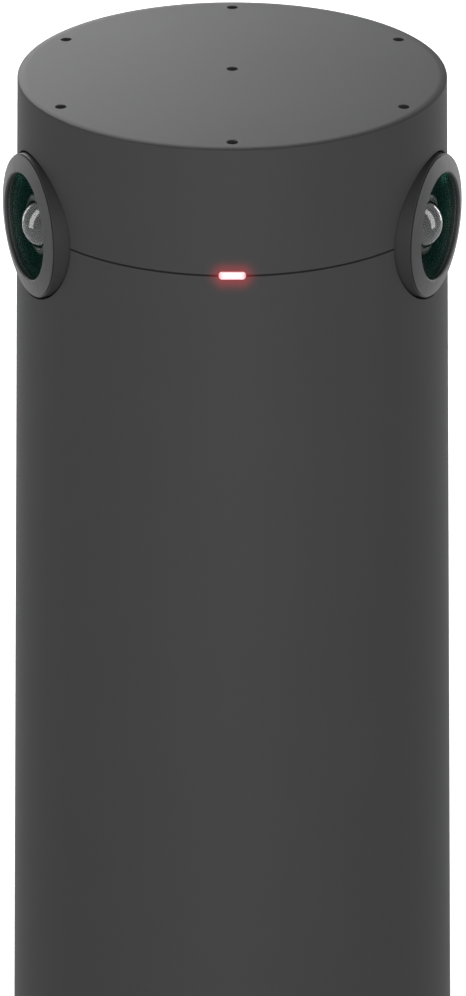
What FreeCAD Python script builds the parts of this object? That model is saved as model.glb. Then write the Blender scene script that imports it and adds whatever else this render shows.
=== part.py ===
import FreeCAD, Part
import os
import re
import Sketcher

# Tabletop conference camera: a tapered column with a microphone cap, two
# wide-angle lens modules clamped in the seam between its two housings, a status
# light on that seam and a recessed port panel low at the back.
# Millimetres and degrees. +Z is up, the status light faces -Y and the origin is
# the centre of the column's foot, on the surface it stands on.
# Lens pieces are drawn along their own optical axis, where Z is the distance
# from the column's centre line, and are then turned to their azimuth.

SIZES = [
    # Column outside
    ("rim_radius", 40.0, "radius of the column at its top rim"),
    ("rim_height", 279.1, "height of the top rim above the table"),
    ("draft_angle", 1.09, "taper of the side, per side"),
    ("crown_height", 0.9, "rise of the top from the rim to its middle"),
    ("crown_flat", 18.0, "radius of the level middle of the top"),
    ("rim_chamfer", 0.35, "edge break between top and side"),
    ("housing_bottom", 1.6, "lower edge of the column above the table"),
    ("seam_drop", 24.25, "seam below the top rim"),
    ("seam_gap", 0.3, "open line between the two housings"),
    # Housing walls
    ("cap_wall", 1.8, "side wall of the cap at the rim"),
    ("cap_skin", 1.6, "top wall of the cap at the rim"),
    ("main_wall", 2.3, "thinnest side wall of the main housing"),
    ("foot_bore_top", 80.0, "top of the housing's wide lower bore"),
    ("tongue_width", 1.1, "thickness of the cap's locating tongue"),
    ("tongue_depth", 3.0, "reach of the tongue below the seam"),
    ("lap_clearance", 0.1, "clearance around the tongue"),
    ("fit_clearance", 0.05, "clearance between pieces that fit in each other"),
    ("leg_thickness", 2.2, "thickness of the cap's legs"),
    ("leg_width", 8.0, "width of the cap's legs"),
    ("leg_inset", 5.7, "middle of a leg inside the rim's radius"),
    ("leg_back", 8.5, "middle of a leg behind the column's middle"),
    ("lug_width", 8.0, "width of the housing's lugs on the base"),
    ("lug_depth", 3.0, "reach of the lugs in from the wall"),
    ("lug_height", 6.0, "height of the lugs"),
    ("lug_count", 4, "number of lugs"),
    # Lens modules
    ("lens_azimuth", 67.5, "lens axis, measured from the front"),
    ("bezel_stand", 1.37, "face of a lens bezel outside the rim's radius"),
    ("bezel_face_radius", 12.85, "outer radius of the bezel's face"),
    ("bezel_flank_radius", 13.5, "outer radius of the bezel where it leaves the housing"),
    ("bezel_chamfer", 0.8, "height of the bezel's edge break"),
    ("bezel_opening", 10.04, "radius of the bezel's opening"),
    ("bezel_lip_height", 0.48, "rise of the inner lip above the face"),
    ("bezel_lip_width", 0.8, "width of the inner lip"),
    ("bezel_gap", 0.4, "shadow gap between bezel and housing"),
    ("collar_inset", 4.9, "inner face of the housing's lens collar inside the rim's radius"),
    ("collar_radius", 16.2, "outer radius of the housing's lens collar"),
    ("barrel_flange_radius", 14.6, "reach of the barrel's eight-sided flange behind the collar"),
    ("barrel_flange_thickness", 3.4, "thickness of that flange"),
    ("barrel_path_width", 5.6, "light path through the barrel, width"),
    ("barrel_path_height", 4.4, "light path through the barrel, height"),
    ("barrel_well_depth", 2.85, "depth of the well under the front element"),
    ("glass_back", 1.97, "back of the front element behind the bezel's face"),
    ("glass_edge", 1.7, "edge thickness of the front element"),
    ("glass_rise", 1.0, "bulge of the front element"),
    ("glass_land", 5.0, "radius of the front element's middle"),
    ("dome_radius", 4.4, "radius of the inner element"),
    ("dome_rise", 2.0, "bulge of the inner element"),
    ("dome_land", 2.0, "radius of the inner element's middle"),
    ("holder_width", 21.0, "square body of the lens holder"),
    ("light_path_width", 9.6, "light path through the holder, width"),
    ("light_path_height", 7.6, "light path through the holder, height"),
    ("sensor_board_inset", 22.0, "back of the sensor board inside the rim's radius"),
    ("sensor_width", 9.0, "image sensor package, width"),
    ("sensor_depth", 7.0, "image sensor package, height"),
    ("sensor_height", 0.9, "image sensor package, thickness"),
    # Status light
    ("slot_length", 5.1, "length of the status light's window"),
    ("slot_height", 1.6, "height of the status light's window"),
    ("pipe_inset", 0.05, "light pipe behind the housing's surface"),
    ("pipe_inset_back", 4.8, "inner end of the light pipe inside the rim's radius"),
    ("pipe_flange_length", 7.6, "light pipe's flange, length"),
    ("pipe_flange_height", 3.6, "light pipe's flange, height"),
    ("pipe_flange_thickness", 2.0, "light pipe's flange, thickness"),
    ("light_board_width", 12.0, "status light board, width"),
    ("light_board_height", 9.0, "status light board, height"),
    ("led_width", 1.6, "width of one LED"),
    ("led_height", 1.2, "height of one LED"),
    ("led_depth", 0.8, "depth of one LED"),
    ("led_spacing", 2.2, "distance between the LEDs"),
    ("led_gap", 0.2, "air between LEDs and light pipe"),
    # Microphones
    ("mic_count", 6, "microphones around the rim"),
    ("mic_inset", 3.72, "middle of a microphone port inside the rim's radius"),
    ("mic_hole", 1.08, "corner radius of an eight-sided microphone port"),
    ("foam_width", 3.2, "width of the acoustic foam under a port"),
    ("foam_height", 1.2, "height of the acoustic foam"),
    ("mic_length", 3.4, "microphone package, length"),
    ("mic_width", 2.3, "microphone package, width"),
    ("mic_height", 1.0, "microphone package, height"),
    ("mic_board_gap", 0.3, "gap around the microphone board"),
    ("mic_board_tab", 8.0, "width of the board's tab at a microphone"),
    ("mic_board_notch", 13.0, "edge of the board between two tabs inside the rim's radius"),
    # Boards
    ("board_thickness", 1.0, "thickness of the small circuit boards"),
    ("main_board_thickness", 1.6, "thickness of the main and port boards"),
    # Camera cradle
    ("cradle_inset", 7.0, "corners of the cradle's eight-sided plate inside the rim's radius"),
    ("cradle_thickness", 2.0, "thickness of the cradle's plate and uprights"),
    ("cradle_drop", 14.85, "top of the cradle's plate below the lens axis"),
    ("cradle_window", 16.0, "cable window in the cradle's plate"),
    ("cradle_window_front", 6.0, "middle of the cable window before the centre"),
    ("upright_width", 24.0, "width of an upright"),
    ("upright_rise", 12.0, "top of an upright above the lens axis"),
    # Cast base with its spine
    ("base_bottom", 1.9, "underside of the base above the table"),
    ("base_thickness", 3.0, "thickness of the base"),
    ("base_boss_width", 20.0, "square boss round the tripod insert"),
    ("base_boss_height", 8.0, "height of that boss above the base"),
    ("spine_width", 38.0, "width of the spine"),
    ("spine_thickness", 2.0, "thickness of the spine"),
    ("spine_back", 4.0, "front face of the spine behind the centre"),
    ("shelf_depth", 14.0, "depth of the spine's top shelf"),
    ("foot_spread", 1.0, "edge of the rubber foot outside the rim's radius"),
    ("foot_bore", 8.0, "radius of the opening in the rubber foot"),
    ("insert_reach", 5.5, "centre to flat of the six-sided tripod insert"),
    ("insert_bore", 3.175, "radius of the tripod insert's bore"),
    ("insert_depth", 9.0, "depth of the tripod insert's bore"),
    ("insert_length", 10.4, "length of the tripod insert"),
    ("ballast_spread", 8.0, "ballast block, width over the rim's radius"),
    ("ballast_inset", 21.0, "ballast block, depth under the rim's radius"),
    ("ballast_height", 14.0, "ballast block, height"),
    ("ballast_gap", 1.0, "ballast block in front of the boss"),
    # Main board and cooling
    ("board_standoff", 3.0, "main board in front of the spine"),
    ("standoff_width", 5.0, "width of the spine's standoffs"),
    ("board_bottom", 62.0, "lower edge of the main board above the table"),
    ("board_top_margin", 20.0, "main board's upper edge below the cradle"),
    ("processor_width", 17.0, "processor package, width"),
    ("processor_height", 1.4, "processor package, thickness"),
    ("memory_width", 9.0, "memory chip, width"),
    ("memory_length", 12.0, "memory chip, length"),
    ("memory_height", 1.1, "memory chip, thickness"),
    ("memory_spacing", 40.0, "distance between the memory chips"),
    ("shield_width", 28.0, "shield can, width"),
    ("shield_length", 32.0, "shield can, length"),
    ("shield_height", 3.0, "shield can, height"),
    ("shield_spacing", 62.0, "distance between the shield cans"),
    ("sink_width", 30.0, "heat sink, width"),
    ("sink_length", 60.0, "heat sink, length"),
    ("sink_base", 3.0, "heat sink, base thickness"),
    ("sink_depth", 14.0, "heat sink, depth with fins"),
    ("fin_count", 7, "number of fins"),
    ("fin_thickness", 1.4, "thickness of a fin"),
    # Port panel
    ("port_height", 34.0, "centre of the port recess above the table"),
    ("recess_width", 44.0, "port recess, width"),
    ("recess_height", 23.0, "port recess, height"),
    ("recess_corner", 3.0, "port recess, corner radius"),
    ("panel_inset", 4.5, "face of the port panel inside the rim's radius"),
    ("panel_thickness", 2.0, "thickness of the port panel"),
    ("panel_wall", 1.5, "thickness of the wall round the recess"),
    ("jack_side", -12.0, "network jack, sideways place"),
    ("jack_width", 16.0, "network jack, width"),
    ("jack_height", 13.5, "network jack, height"),
    ("jack_depth", 17.0, "network jack, depth"),
    ("socket_width", 11.8, "network socket, width"),
    ("socket_height", 8.0, "network socket, height"),
    ("socket_depth", 12.5, "network socket, depth"),
    ("socket_lift", 0.9, "network socket above the jack's middle"),
    ("latch_width", 6.2, "network socket, width of the latch slot"),
    ("latch_height", 2.2, "network socket, height of the latch slot"),
    ("contact_count", 8, "contacts in the network socket"),
    ("contact_pitch", 1.02, "distance between the contacts"),
    ("contact_width", 0.45, "width of a contact"),
    ("contact_rise", 2.6, "height of a contact's slope"),
    ("usb_side", 2.5, "data jack, sideways place"),
    ("usb_width", 8.94, "data jack, width"),
    ("usb_height", 3.26, "data jack, height"),
    ("usb_shell", 0.3, "data jack, thickness of its shell"),
    ("usb_depth", 7.5, "data jack, depth"),
    ("tongue_length", 6.0, "data jack's tongue, length"),
    ("tongue_span", 6.6, "data jack's tongue, width"),
    ("tongue_height", 0.7, "data jack's tongue, height"),
    ("lock_side", 17.0, "lock slot, sideways place"),
    ("lock_width", 3.0, "lock slot, width"),
    ("lock_height", 7.0, "lock slot, height"),
    ("lock_plate_width", 7.0, "lock plate, width"),
    ("lock_plate_height", 12.0, "lock plate, height"),
    ("lock_plate_thickness", 1.5, "lock plate, thickness"),
    ("io_board_width", 41.0, "port board, width"),
    ("io_board_front", 8.0, "port board, edge nearest the centre"),
    ("io_edge", 3.5, "standoffs from the port board's edges"),
    ("io_standoff_width", 4.5, "width across the port board's six-sided standoffs"),
    # Reset button
    ("reset_side", 10.2, "reset button, sideways place"),
    ("reset_lift", 2.6, "reset button above the port board"),
    ("reset_radius", 1.9, "radius of the reset button"),
    ("reset_rise", 0.8, "reset button in front of the panel's face"),
    ("reset_flange", 4.8, "width of the button's square retaining flange"),
    ("reset_flange_height", 0.6, "thickness of the retaining flange"),
    ("reset_clearance", 0.08, "clearance around the button"),
    ("reset_travel", 0.5, "travel of the button"),
    ("switch_width", 4.5, "tactile switch, width"),
    ("switch_height", 4.2, "tactile switch, height"),
    ("switch_depth", 3.5, "tactile switch, depth"),
]
# Sizes that follow the column's radius
DERIVED = [
    ("leg_side", "=rim_radius - leg_inset", "middle of a leg from the column's middle"),
    ("lens_reach", "=rim_radius + bezel_stand", "face of a lens bezel from the centre line"),
    ("collar_reach", "=rim_radius - collar_inset", "inner face of the lens collar from the centre line"),
    ("sensor_board_reach", "=rim_radius - sensor_board_inset", "back of a sensor board from the middle"),
    ("pipe_back", "=rim_radius - pipe_inset_back", "inner end of the light pipe from the centre line"),
    ("mic_ring", "=rim_radius - mic_inset", "radius of the ring of microphone ports"),
    ("mic_board_waist", "=rim_radius - mic_board_notch", "radius of the microphone board between two tabs"),
    ("cradle_radius", "=rim_radius - cradle_inset", "corner radius of the cradle's eight-sided plate"),
    ("foot_outer", "=rim_radius + foot_spread", "outer radius of the rubber foot"),
    ("ballast_width", "=rim_radius + ballast_spread", "width of the ballast block"),
    ("ballast_depth", "=rim_radius - ballast_inset", "depth of the ballast block"),
    ("panel_reach", "=rim_radius - panel_inset", "face of the port panel behind the centre line"),
]
ALL_SIZES = SIZES + DERIVED
NAMES = {name for name, _, _ in ALL_SIZES}
HEXAGON = 6
OCTAGON = 8

doc = FreeCAD.newDocument("ConferenceCamera")
sheet = doc.addObject("Spreadsheet::Sheet", "Sizes")
for row, (name, number, note) in enumerate(ALL_SIZES, 1):
    sheet.set(f"A{row}", name)
    sheet.set(f"B{row}", str(number))
    sheet.set(f"C{row}", note)
    sheet.setAlias(f"B{row}", name)
doc.recompute()

nodes = []


# Expressions

def bound(text):
    """The expression with every size name pointing at its cell of the sheet."""
    def cell(word):
        return f"Sizes.{word.group()}" if word.group() in NAMES else word.group()

    return re.sub(r"[a-z]\w*", cell, text)


def value(text):
    """The number that an expression gives now."""
    return float(sheet.evalExpression(bound(text)))


def bind(thing, prop, text):
    """Ties a property to an expression of the sizes."""
    thing.setExpression(prop, bound(text))


def outer_radius(height):
    """Radius of the column's outside at a height."""
    return f"(rim_radius + tan(draft_angle * 1 deg) * (rim_height - ({height})))"


def moved(thing, x="0", y="0", z="0", turn="0"):
    """Places a piece at x, y, z, turned about the upright axis."""
    bind(thing, "Placement", f"placement(vector({x}; {y}; {z}); rotation(vector(0; 0; 1); {turn}))")


def aimed(thing, azimuth, height):
    """Places a piece that is drawn along Z so that it points outwards at an azimuth."""
    turned = f"rotation(vector(0; 0; 1); {azimuth}) * rotation(vector(1; 0; 0); 90)"
    bind(thing, "Placement", f"placement(vector(0; 0; {height}); {turned})")


# Heights and reaches that several pieces share

seam_height = "(rim_height - seam_drop)"
lens_height = seam_height
cap_edge = f"({seam_height} + seam_gap / 2)"
main_edge = f"({seam_height} - seam_gap / 2)"
cavity_radius = "(rim_radius - cap_wall)"
tongue_outer = "(rim_radius - cap_wall + tongue_width)"
cap_underside = "(rim_height - cap_skin)"
mic_board_top = f"({cap_underside} - foam_height)"
mic_board_bottom = f"({mic_board_top} - board_thickness)"
cradle_top = f"({lens_height} - cradle_drop)"
cradle_bottom = f"({cradle_top} - cradle_thickness)"
collar_inside = "(collar_reach - cap_wall)"
lens_bore = "(bezel_flank_radius + bezel_gap)"
flange_front = "(collar_reach - fit_clearance)"
barrel_back = f"({flange_front} - barrel_flange_thickness)"
glass_radius = "(bezel_opening - fit_clearance)"
glass_seat = "(lens_reach - glass_back)"
well_floor = f"({glass_seat} - barrel_well_depth)"
holder_back = "(sensor_board_reach + board_thickness)"
upright_back = "(sensor_board_reach - cradle_thickness)"
foot_bore_radius = f"({outer_radius('foot_bore_top')} - main_wall)"
base_top = "(base_bottom + base_thickness)"
spine_rear = "(spine_back + spine_thickness)"
board_back = "(spine_back - board_standoff)"
board_front = f"({board_back} - main_board_thickness)"
board_top = f"({cradle_bottom} - board_top_margin)"
board_middle = f"((board_bottom + {board_top}) / 2)"
panel_back = "(panel_reach - panel_thickness)"
io_board_top = "(port_height - jack_height / 2)"
io_board_bottom = f"({io_board_top} - main_board_thickness)"
io_board_back = f"({panel_back} - 4 * fit_clearance)"
usb_middle = f"({io_board_top} + usb_height / 2)"
reset_height = f"({io_board_top} + reset_lift)"
light_board_back = "(pipe_back - led_gap - led_depth - board_thickness)"

LENSES = {"left": "-lens_azimuth", "right": "lens_azimuth"}
FAR = "(rim_radius * 2)"


# Sketches and features

def new_body(label, is_node=True):
    """An empty body; a node's body is written to a file of its own."""
    body = doc.addObject("PartDesign::Body", label)
    body.Label = label
    if is_node:
        nodes.append(body)
    return body


def origin_plane(body, role):
    """One of the body's own origin planes."""
    return next(plane for plane in body.Origin.OriginFeatures if plane.Role == role)


def section_sketch(body):
    """A sketch in the X-Z plane whose upright axis is the axis of a turned piece."""
    sketch = body.newObject("Sketcher::SketchObject", "Section")
    sketch.AttachmentSupport = [(origin_plane(body, "XZ_Plane"), "")]
    sketch.MapMode = "FlatFace"
    return sketch


def flat_sketch(body, height="0", turn="0"):
    """A level sketch at a height, turned about the upright axis."""
    sketch = body.newObject("Sketcher::SketchObject", "Level")
    sketch.AttachmentSupport = [(origin_plane(body, "XY_Plane"), "")]
    sketch.MapMode = "FlatFace"
    bind(sketch, "AttachmentOffset", f"placement(vector(0; 0; {height}); rotation(vector(0; 0; 1); {turn}))")
    return sketch


def facing_sketch(body, azimuth="0", reach="0", height="0"):
    """An upright sketch that faces outwards at an azimuth, a reach and a height."""
    sketch = body.newObject("Sketcher::SketchObject", "Upright")
    sketch.AttachmentSupport = [(origin_plane(body, "XZ_Plane"), "")]
    sketch.MapMode = "FlatFace"
    east = f"({reach}) * sin(({azimuth}) * 1 deg)"
    out = f"({reach}) * cos(({azimuth}) * 1 deg)"
    bind(
        sketch,
        "AttachmentOffset",
        f"placement(vector({east}; {height}; {out}); rotation(vector(0; 1; 0); {azimuth}))",
    )
    return sketch


def pin(sketch, geometry, end, x, y):
    """Holds one point of a sketch at x, y."""
    for kind, coordinate, axis in (("DistanceX", x, -2), ("DistanceY", y, -1)):
        number = value(coordinate)
        if abs(number) < 1e-9:
            sketch.addConstraint(Sketcher.Constraint("PointOnObject", geometry, end, axis))
        else:
            index = sketch.addConstraint(Sketcher.Constraint(kind, -1, 1, geometry, end, number))
            bind(sketch, f"Constraints[{index}]", coordinate)


def arc_between(start, finish, radius):
    """A short arc from start to finish; a positive radius turns to the left on the way."""
    chord = finish - start
    middle = (start + finish) * 0.5
    side = FreeCAD.Vector(-chord.y, chord.x, 0).normalize()
    rise = max(radius * radius - chord.Length ** 2 / 4, 0.0) ** 0.5
    centre = middle + side * (rise if radius > 0 else -rise)
    bulge = (middle - centre).normalize() if rise > 1e-9 else side * (-1 if radius > 0 else 1)
    return Part.Arc(start, centre + bulge * abs(radius), finish)


def outline(sketch, corners):
    """Draws a closed outline; a corner is (x, y), or (x, y, radius) where an arc arrives at it."""
    points = [FreeCAD.Vector(value(corner[0]), value(corner[1]), 0) for corner in corners]
    ends = []
    for index, corner in enumerate(corners):
        start, finish = points[index - 1], points[index]
        if len(corner) == 2:
            edge = sketch.addGeometry(Part.LineSegment(start, finish), False)
            ends.append((edge, 1, 2))
            continue
        arc = arc_between(start, finish, value(corner[2]))
        edge = sketch.addGeometry(arc, False)
        leaves_first = (sketch.getPoint(edge, 1) - start).Length < (sketch.getPoint(edge, 2) - start).Length
        ends.append((edge, 1, 2) if leaves_first else (edge, 2, 1))
        index = sketch.addConstraint(Sketcher.Constraint("Radius", edge, abs(value(corner[2]))))
        bind(sketch, f"Constraints[{index}]", f"abs({corner[2]})")
    for index, corner in enumerate(corners):
        edge, _, finish_end = ends[index]
        following, start_end, _ = ends[(index + 1) % len(corners)]
        sketch.addConstraint(Sketcher.Constraint("Coincident", edge, finish_end, following, start_end))
        pin(sketch, edge, finish_end, corner[0], corner[1])


def circle(sketch, radius, x="0", y="0"):
    """Draws a circle about x, y."""
    centre = FreeCAD.Vector(value(x), value(y), 0)
    edge = sketch.addGeometry(Part.Circle(centre, FreeCAD.Vector(0, 0, 1), value(radius)), False)
    index = sketch.addConstraint(Sketcher.Constraint("Radius", edge, value(radius)))
    bind(sketch, f"Constraints[{index}]", radius)
    pin(sketch, edge, 3, x, y)


def rectangle(sketch, width, height, x="0", y="0"):
    """Draws a rectangle about x, y."""
    left, right = f"{x} - {width} / 2", f"{x} + {width} / 2"
    low, high = f"{y} - {height} / 2", f"{y} + {height} / 2"
    outline(sketch, [(left, low), (right, low), (right, high), (left, high)])


def rounded_rectangle(sketch, width, height, corner, x="0", y="0"):
    """Draws a rectangle with round corners about x, y."""
    left, right = f"{x} - {width} / 2", f"{x} + {width} / 2"
    low, high = f"{y} - {height} / 2", f"{y} + {height} / 2"
    outline(
        sketch,
        [
            (f"{left} + {corner}", low, corner),
            (f"{right} - {corner}", low),
            (right, f"{low} + {corner}", corner),
            (right, f"{high} - {corner}"),
            (f"{right} - {corner}", high, corner),
            (f"{left} + {corner}", high),
            (left, f"{high} - {corner}", corner),
            (left, f"{low} + {corner}"),
        ],
    )


def stadium(sketch, length, height, x="0", y="0"):
    """Draws a slot with round ends about x, y."""
    half_run = f"(({length}) - ({height})) / 2"
    half_rise = f"({height}) / 2"
    outline(
        sketch,
        [
            (f"{x} - {half_run}", f"{y} - {half_rise}", half_rise),
            (f"{x} + {half_run}", f"{y} - {half_rise}"),
            (f"{x} + {half_run} + {half_rise}", y, half_rise),
            (f"{x} + {half_run}", f"{y} + {half_rise}", half_rise),
            (f"{x} - {half_run}", f"{y} + {half_rise}"),
            (f"{x} - {half_run} - {half_rise}", y, half_rise),
        ],
    )


def pad(body, sketch, length, midplane=False):
    """Adds material from a sketch, the way that it faces."""
    feature = body.newObject("PartDesign::Pad", "Pad")
    feature.Profile = sketch
    bind(feature, "Length", length)
    feature.Midplane = midplane
    return feature


def pocket(body, sketch, length):
    """Cuts material from a sketch, the way that it faces."""
    feature = body.newObject("PartDesign::Pocket", "Pocket")
    feature.Profile = sketch
    feature.Reversed = True
    bind(feature, "Length", length)
    return feature


def revolve(body, sketch):
    """Turns a section about its upright axis into a solid."""
    feature = body.newObject("PartDesign::Revolution", "Revolution")
    feature.Profile = sketch
    feature.ReferenceAxis = (sketch, ["V_Axis"])
    feature.Angle = 360
    return feature


def groove(body, sketch):
    """Cuts a turned section away."""
    feature = body.newObject("PartDesign::Groove", "Groove")
    feature.Profile = sketch
    feature.ReferenceAxis = (sketch, ["V_Axis"])
    feature.Angle = 360
    return feature


def around(body, feature, sketch, count):
    """Repeats a feature around the upright axis."""
    pattern = body.newObject("PartDesign::PolarPattern", "Pattern")
    pattern.Originals = [feature]
    pattern.Axis = (sketch, ["N_Axis"])
    pattern.Angle = 360
    bind(pattern, "Occurrences", count)
    body.Tip = pattern
    return pattern


def turned(label, corners, is_node=True):
    """A piece that is one turned section."""
    body = new_body(label, is_node)
    section = section_sketch(body)
    outline(section, corners)
    revolve(body, section)
    return body


def gathered(label, pieces):
    """One node of several identical loose pieces."""
    group = doc.addObject("Part::Compound", label)
    group.Label = label
    group.Links = pieces
    nodes.append(group)
    return group


def block(label, width, depth, height, x="0", y="0", z="0", turn="0"):
    """A box whose middle is at x, y and whose underside is at z."""
    box = doc.addObject("Part::Box", label)
    box.Label = label
    bind(box, "Length", width)
    bind(box, "Width", depth)
    bind(box, "Height", height)
    turned_by = f"rotation(vector(0; 0; 1); {turn})"
    corner = f"vector(-({width}) / 2; -({depth}) / 2; 0)"
    centred = f"placement({corner}; rotation(vector(0; 0; 1); 0))"
    bind(box, "Placement", f"placement(vector({x}; {y}; {z}); {turned_by}) * {centred}")
    return box


def polygon(sketch, count, radius, x="0", y="0", turn="0"):
    """Draws a regular polygon with its corners at a radius about x, y."""
    corners = []
    for index in range(count):
        angle = f"((360 * {index} / {count} + {turn}) * 1 deg)"
        corners.append((f"{x} + {radius} * cos({angle})", f"{y} + {radius} * sin({angle})"))
    outline(sketch, corners)


def corner_radius(reach, count):
    """Corner radius of a regular polygon whose flats are at a reach."""
    return f"({reach} / cos(180 deg / {count}))"


def half_step(count):
    """Half of the angle between two corners, which turns a flat to where a corner was."""
    return f"(180 / {count})"


def mic_places():
    """Places of the microphone ports, the centre one first."""
    places = [("0", "0", "0")]
    count = int(value("mic_count"))
    for index in range(count):
        angle = f"(360 * {index} / mic_count - 90)"
        east, north = f"mic_ring * cos({angle} * 1 deg)", f"mic_ring * sin({angle} * 1 deg)"
        places.append((east, north, f"{angle} + 90"))
    return places


# Cap: crowned top with its microphone ports, side wall, tongue and two legs

def make_cap():
    cap = new_body("top_housing")
    section = section_sketch(cap)
    outline(
        section,
        [
            ("0", cap_underside),
            ("0", "rim_height + crown_height"),
            ("crown_flat", "rim_height + crown_height"),
            ("rim_radius - rim_chamfer", "rim_height"),
            (outer_radius("rim_height - rim_chamfer"), "rim_height - rim_chamfer"),
            (outer_radius(cap_edge), cap_edge),
            (cavity_radius, cap_edge),
            (cavity_radius, cap_underside),
        ],
    )
    revolve(cap, section)
    add_collars(cap)
    trim = section_sketch(cap)
    below = f"{lens_height} - 2 * collar_radius"
    outline(
        trim,
        [
            (collar_inside, cap_edge),
            (outer_radius(cap_edge), cap_edge),
            (outer_radius("rim_height - rim_chamfer"), "rim_height - rim_chamfer"),
            (FAR, "rim_height - rim_chamfer"),
            (FAR, below),
            (collar_inside, below),
        ],
    )
    groove(cap, trim)
    tongue = section_sketch(cap)
    outline(
        tongue,
        [
            (cavity_radius, f"{seam_height} - tongue_depth"),
            (tongue_outer, f"{seam_height} - tongue_depth"),
            (tongue_outer, f"{cap_edge} + tongue_width"),
            (cavity_radius, f"{cap_edge} + tongue_width"),
        ],
    )
    revolve(cap, tongue)
    half = "(collar_radius + lap_clearance)"
    for azimuth in LENSES.values():
        relief = facing_sketch(cap, azimuth, collar_inside, lens_height)
        left, upper = f"-{half}", "seam_gap / 2"
        outline(relief, [(left, left), (half, left), (half, upper), (left, upper)])
        pocket(cap, relief, "rim_radius / 2")
    bore_lenses(cap)
    cut_light_window(cap)
    legs = flat_sketch(cap, base_top)
    for side in ("-leg_side", "leg_side"):
        rectangle(legs, "leg_thickness", "leg_width", side, "leg_back")
    pad(cap, legs, f"{cap_underside} - {base_top} + cap_skin / 4")
    ports = flat_sketch(cap, mic_board_top)
    for x, y, _ in mic_places():
        polygon(ports, OCTAGON, "mic_hole", x, y)
    pocket(cap, ports, "rim_radius / 4")


def add_collars(housing):
    """Thickens the wall to a flat collar round each lens."""
    for azimuth in LENSES.values():
        ring = facing_sketch(housing, azimuth, "collar_reach", lens_height)
        circle(ring, "collar_radius")
        pad(housing, ring, "rim_radius / 2")


def bore_lenses(housing):
    """Opens the wall and collar for each lens bezel."""
    for azimuth in LENSES.values():
        bore = facing_sketch(housing, azimuth, collar_inside, lens_height)
        circle(bore, lens_bore)
        pocket(housing, bore, "rim_radius / 2")


def cut_light_window(housing):
    """Opens the wall for the status light at the front."""
    window = facing_sketch(housing, "0", collar_inside, seam_height)
    stadium(window, "slot_length + 2 * fit_clearance", "slot_height + 2 * fit_clearance")
    pocket(housing, window, "rim_radius / 2")


# Main housing: tapered tube with the lower lens collars, lugs on the base and port window

def make_main_housing():
    housing = new_body("main_housing")
    section = section_sketch(housing)
    lip_inner = f"({tongue_outer} + lap_clearance)"
    ledge = f"({seam_height} - tongue_depth - lap_clearance)"
    outline(
        section,
        [
            (f"{outer_radius('housing_bottom')} + main_wall", "housing_bottom"),
            (f"{outer_radius('housing_bottom')} + main_wall", main_edge),
            (lip_inner, main_edge),
            (lip_inner, ledge),
            (cavity_radius, ledge),
            (cavity_radius, "foot_bore_top"),
            (foot_bore_radius, "foot_bore_top"),
            (foot_bore_radius, "housing_bottom"),
        ],
    )
    revolve(housing, section)
    add_collars(housing)
    trim = section_sketch(housing)
    outline(
        trim,
        [
            (outer_radius("housing_bottom"), "housing_bottom"),
            (outer_radius(main_edge), main_edge),
            (collar_inside, main_edge),
            (collar_inside, f"{lens_height} + 2 * collar_radius"),
            (FAR, f"{lens_height} + 2 * collar_radius"),
            (FAR, "housing_bottom"),
        ],
    )
    groove(housing, trim)
    bore_lenses(housing)
    cut_light_window(housing)
    lugs = flat_sketch(housing, f"{base_top} + fit_clearance", "180 / lug_count")
    lug_middle = f"{foot_bore_radius} - lug_depth / 2 + main_wall / 4"
    rectangle(lugs, "lug_depth + main_wall / 2", "lug_width", lug_middle)
    lug = pad(housing, lugs, "lug_height")
    around(housing, lug, lugs, "lug_count")
    window = facing_sketch(housing, "180", "panel_reach", "port_height")
    rounded_rectangle(window, "recess_width", "recess_height", "recess_corner")
    pocket(housing, window, "rim_radius / 2")


# Status light: light pipe, board and LEDs

def make_status_light():
    pipe = new_body("status_light_pipe")
    flange = facing_sketch(pipe, "0", "pipe_back", seam_height)
    rectangle(flange, "pipe_flange_length", "pipe_flange_height")
    pad(pipe, flange, "pipe_flange_thickness")
    window = facing_sketch(pipe, "0", "pipe_back", seam_height)
    stadium(window, "slot_length", "slot_height")
    pad(pipe, window, "rim_radius / 4")
    trim = section_sketch(pipe)
    low, high = f"{seam_height} - 2 * slot_height", f"{seam_height} + 2 * slot_height"
    outline(
        trim,
        [
            (f"{outer_radius(low)} - pipe_inset", low),
            (FAR, low),
            (FAR, high),
            (f"{outer_radius(high)} - pipe_inset", high),
        ],
    )
    groove(pipe, trim)
    board = new_body("status_light_board")
    face = facing_sketch(board, "0", light_board_back, seam_height)
    rectangle(face, "light_board_width", "light_board_height")
    pad(board, face, "board_thickness")
    leds = new_body("status_leds")
    faces = facing_sketch(leds, "0", f"{light_board_back} + board_thickness", seam_height)
    rectangle(faces, "led_width", "led_height", "-led_spacing / 2")
    rectangle(faces, "led_width", "led_height", "led_spacing / 2")
    pad(leds, faces, "led_depth")


# Microphones: acoustic foam, board and packages under the cap

def make_microphones():
    foams = [
        block(f"foam_{index}", "foam_width", "foam_width", "foam_height", x, y, mic_board_top, turn)
        for index, (x, y, turn) in enumerate(mic_places())
    ]
    gathered("port_foams", foams)
    packages = [
        block(f"microphone_{index}", "mic_length", "mic_width", "mic_height",
              x, y, f"{mic_board_bottom} - mic_height", turn)
        for index, (x, y, turn) in enumerate(mic_places())
    ]
    gathered("microphones", packages)
    board = new_body("mic_board")
    level = flat_sketch(board, mic_board_bottom)
    corners = []
    edge = f"({cavity_radius} - mic_board_gap)"
    half_tab = f"asin(mic_board_tab / 2 / {edge})"
    for index in range(int(value("mic_count"))):
        middle = f"(360 deg * {index} / mic_count - 90 deg)"
        for radius, angle in (
            (edge, f"({middle} - {half_tab})"),
            (edge, f"({middle} + {half_tab})"),
            ("mic_board_waist", f"({middle} + 180 deg / mic_count)"),
        ):
            corners.append((f"{radius} * cos({angle})", f"{radius} * sin({angle})"))
    outline(level, corners)
    pad(board, level, "board_thickness")


# Lens modules, one on each side; each round piece is one node with a copy per side

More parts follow.
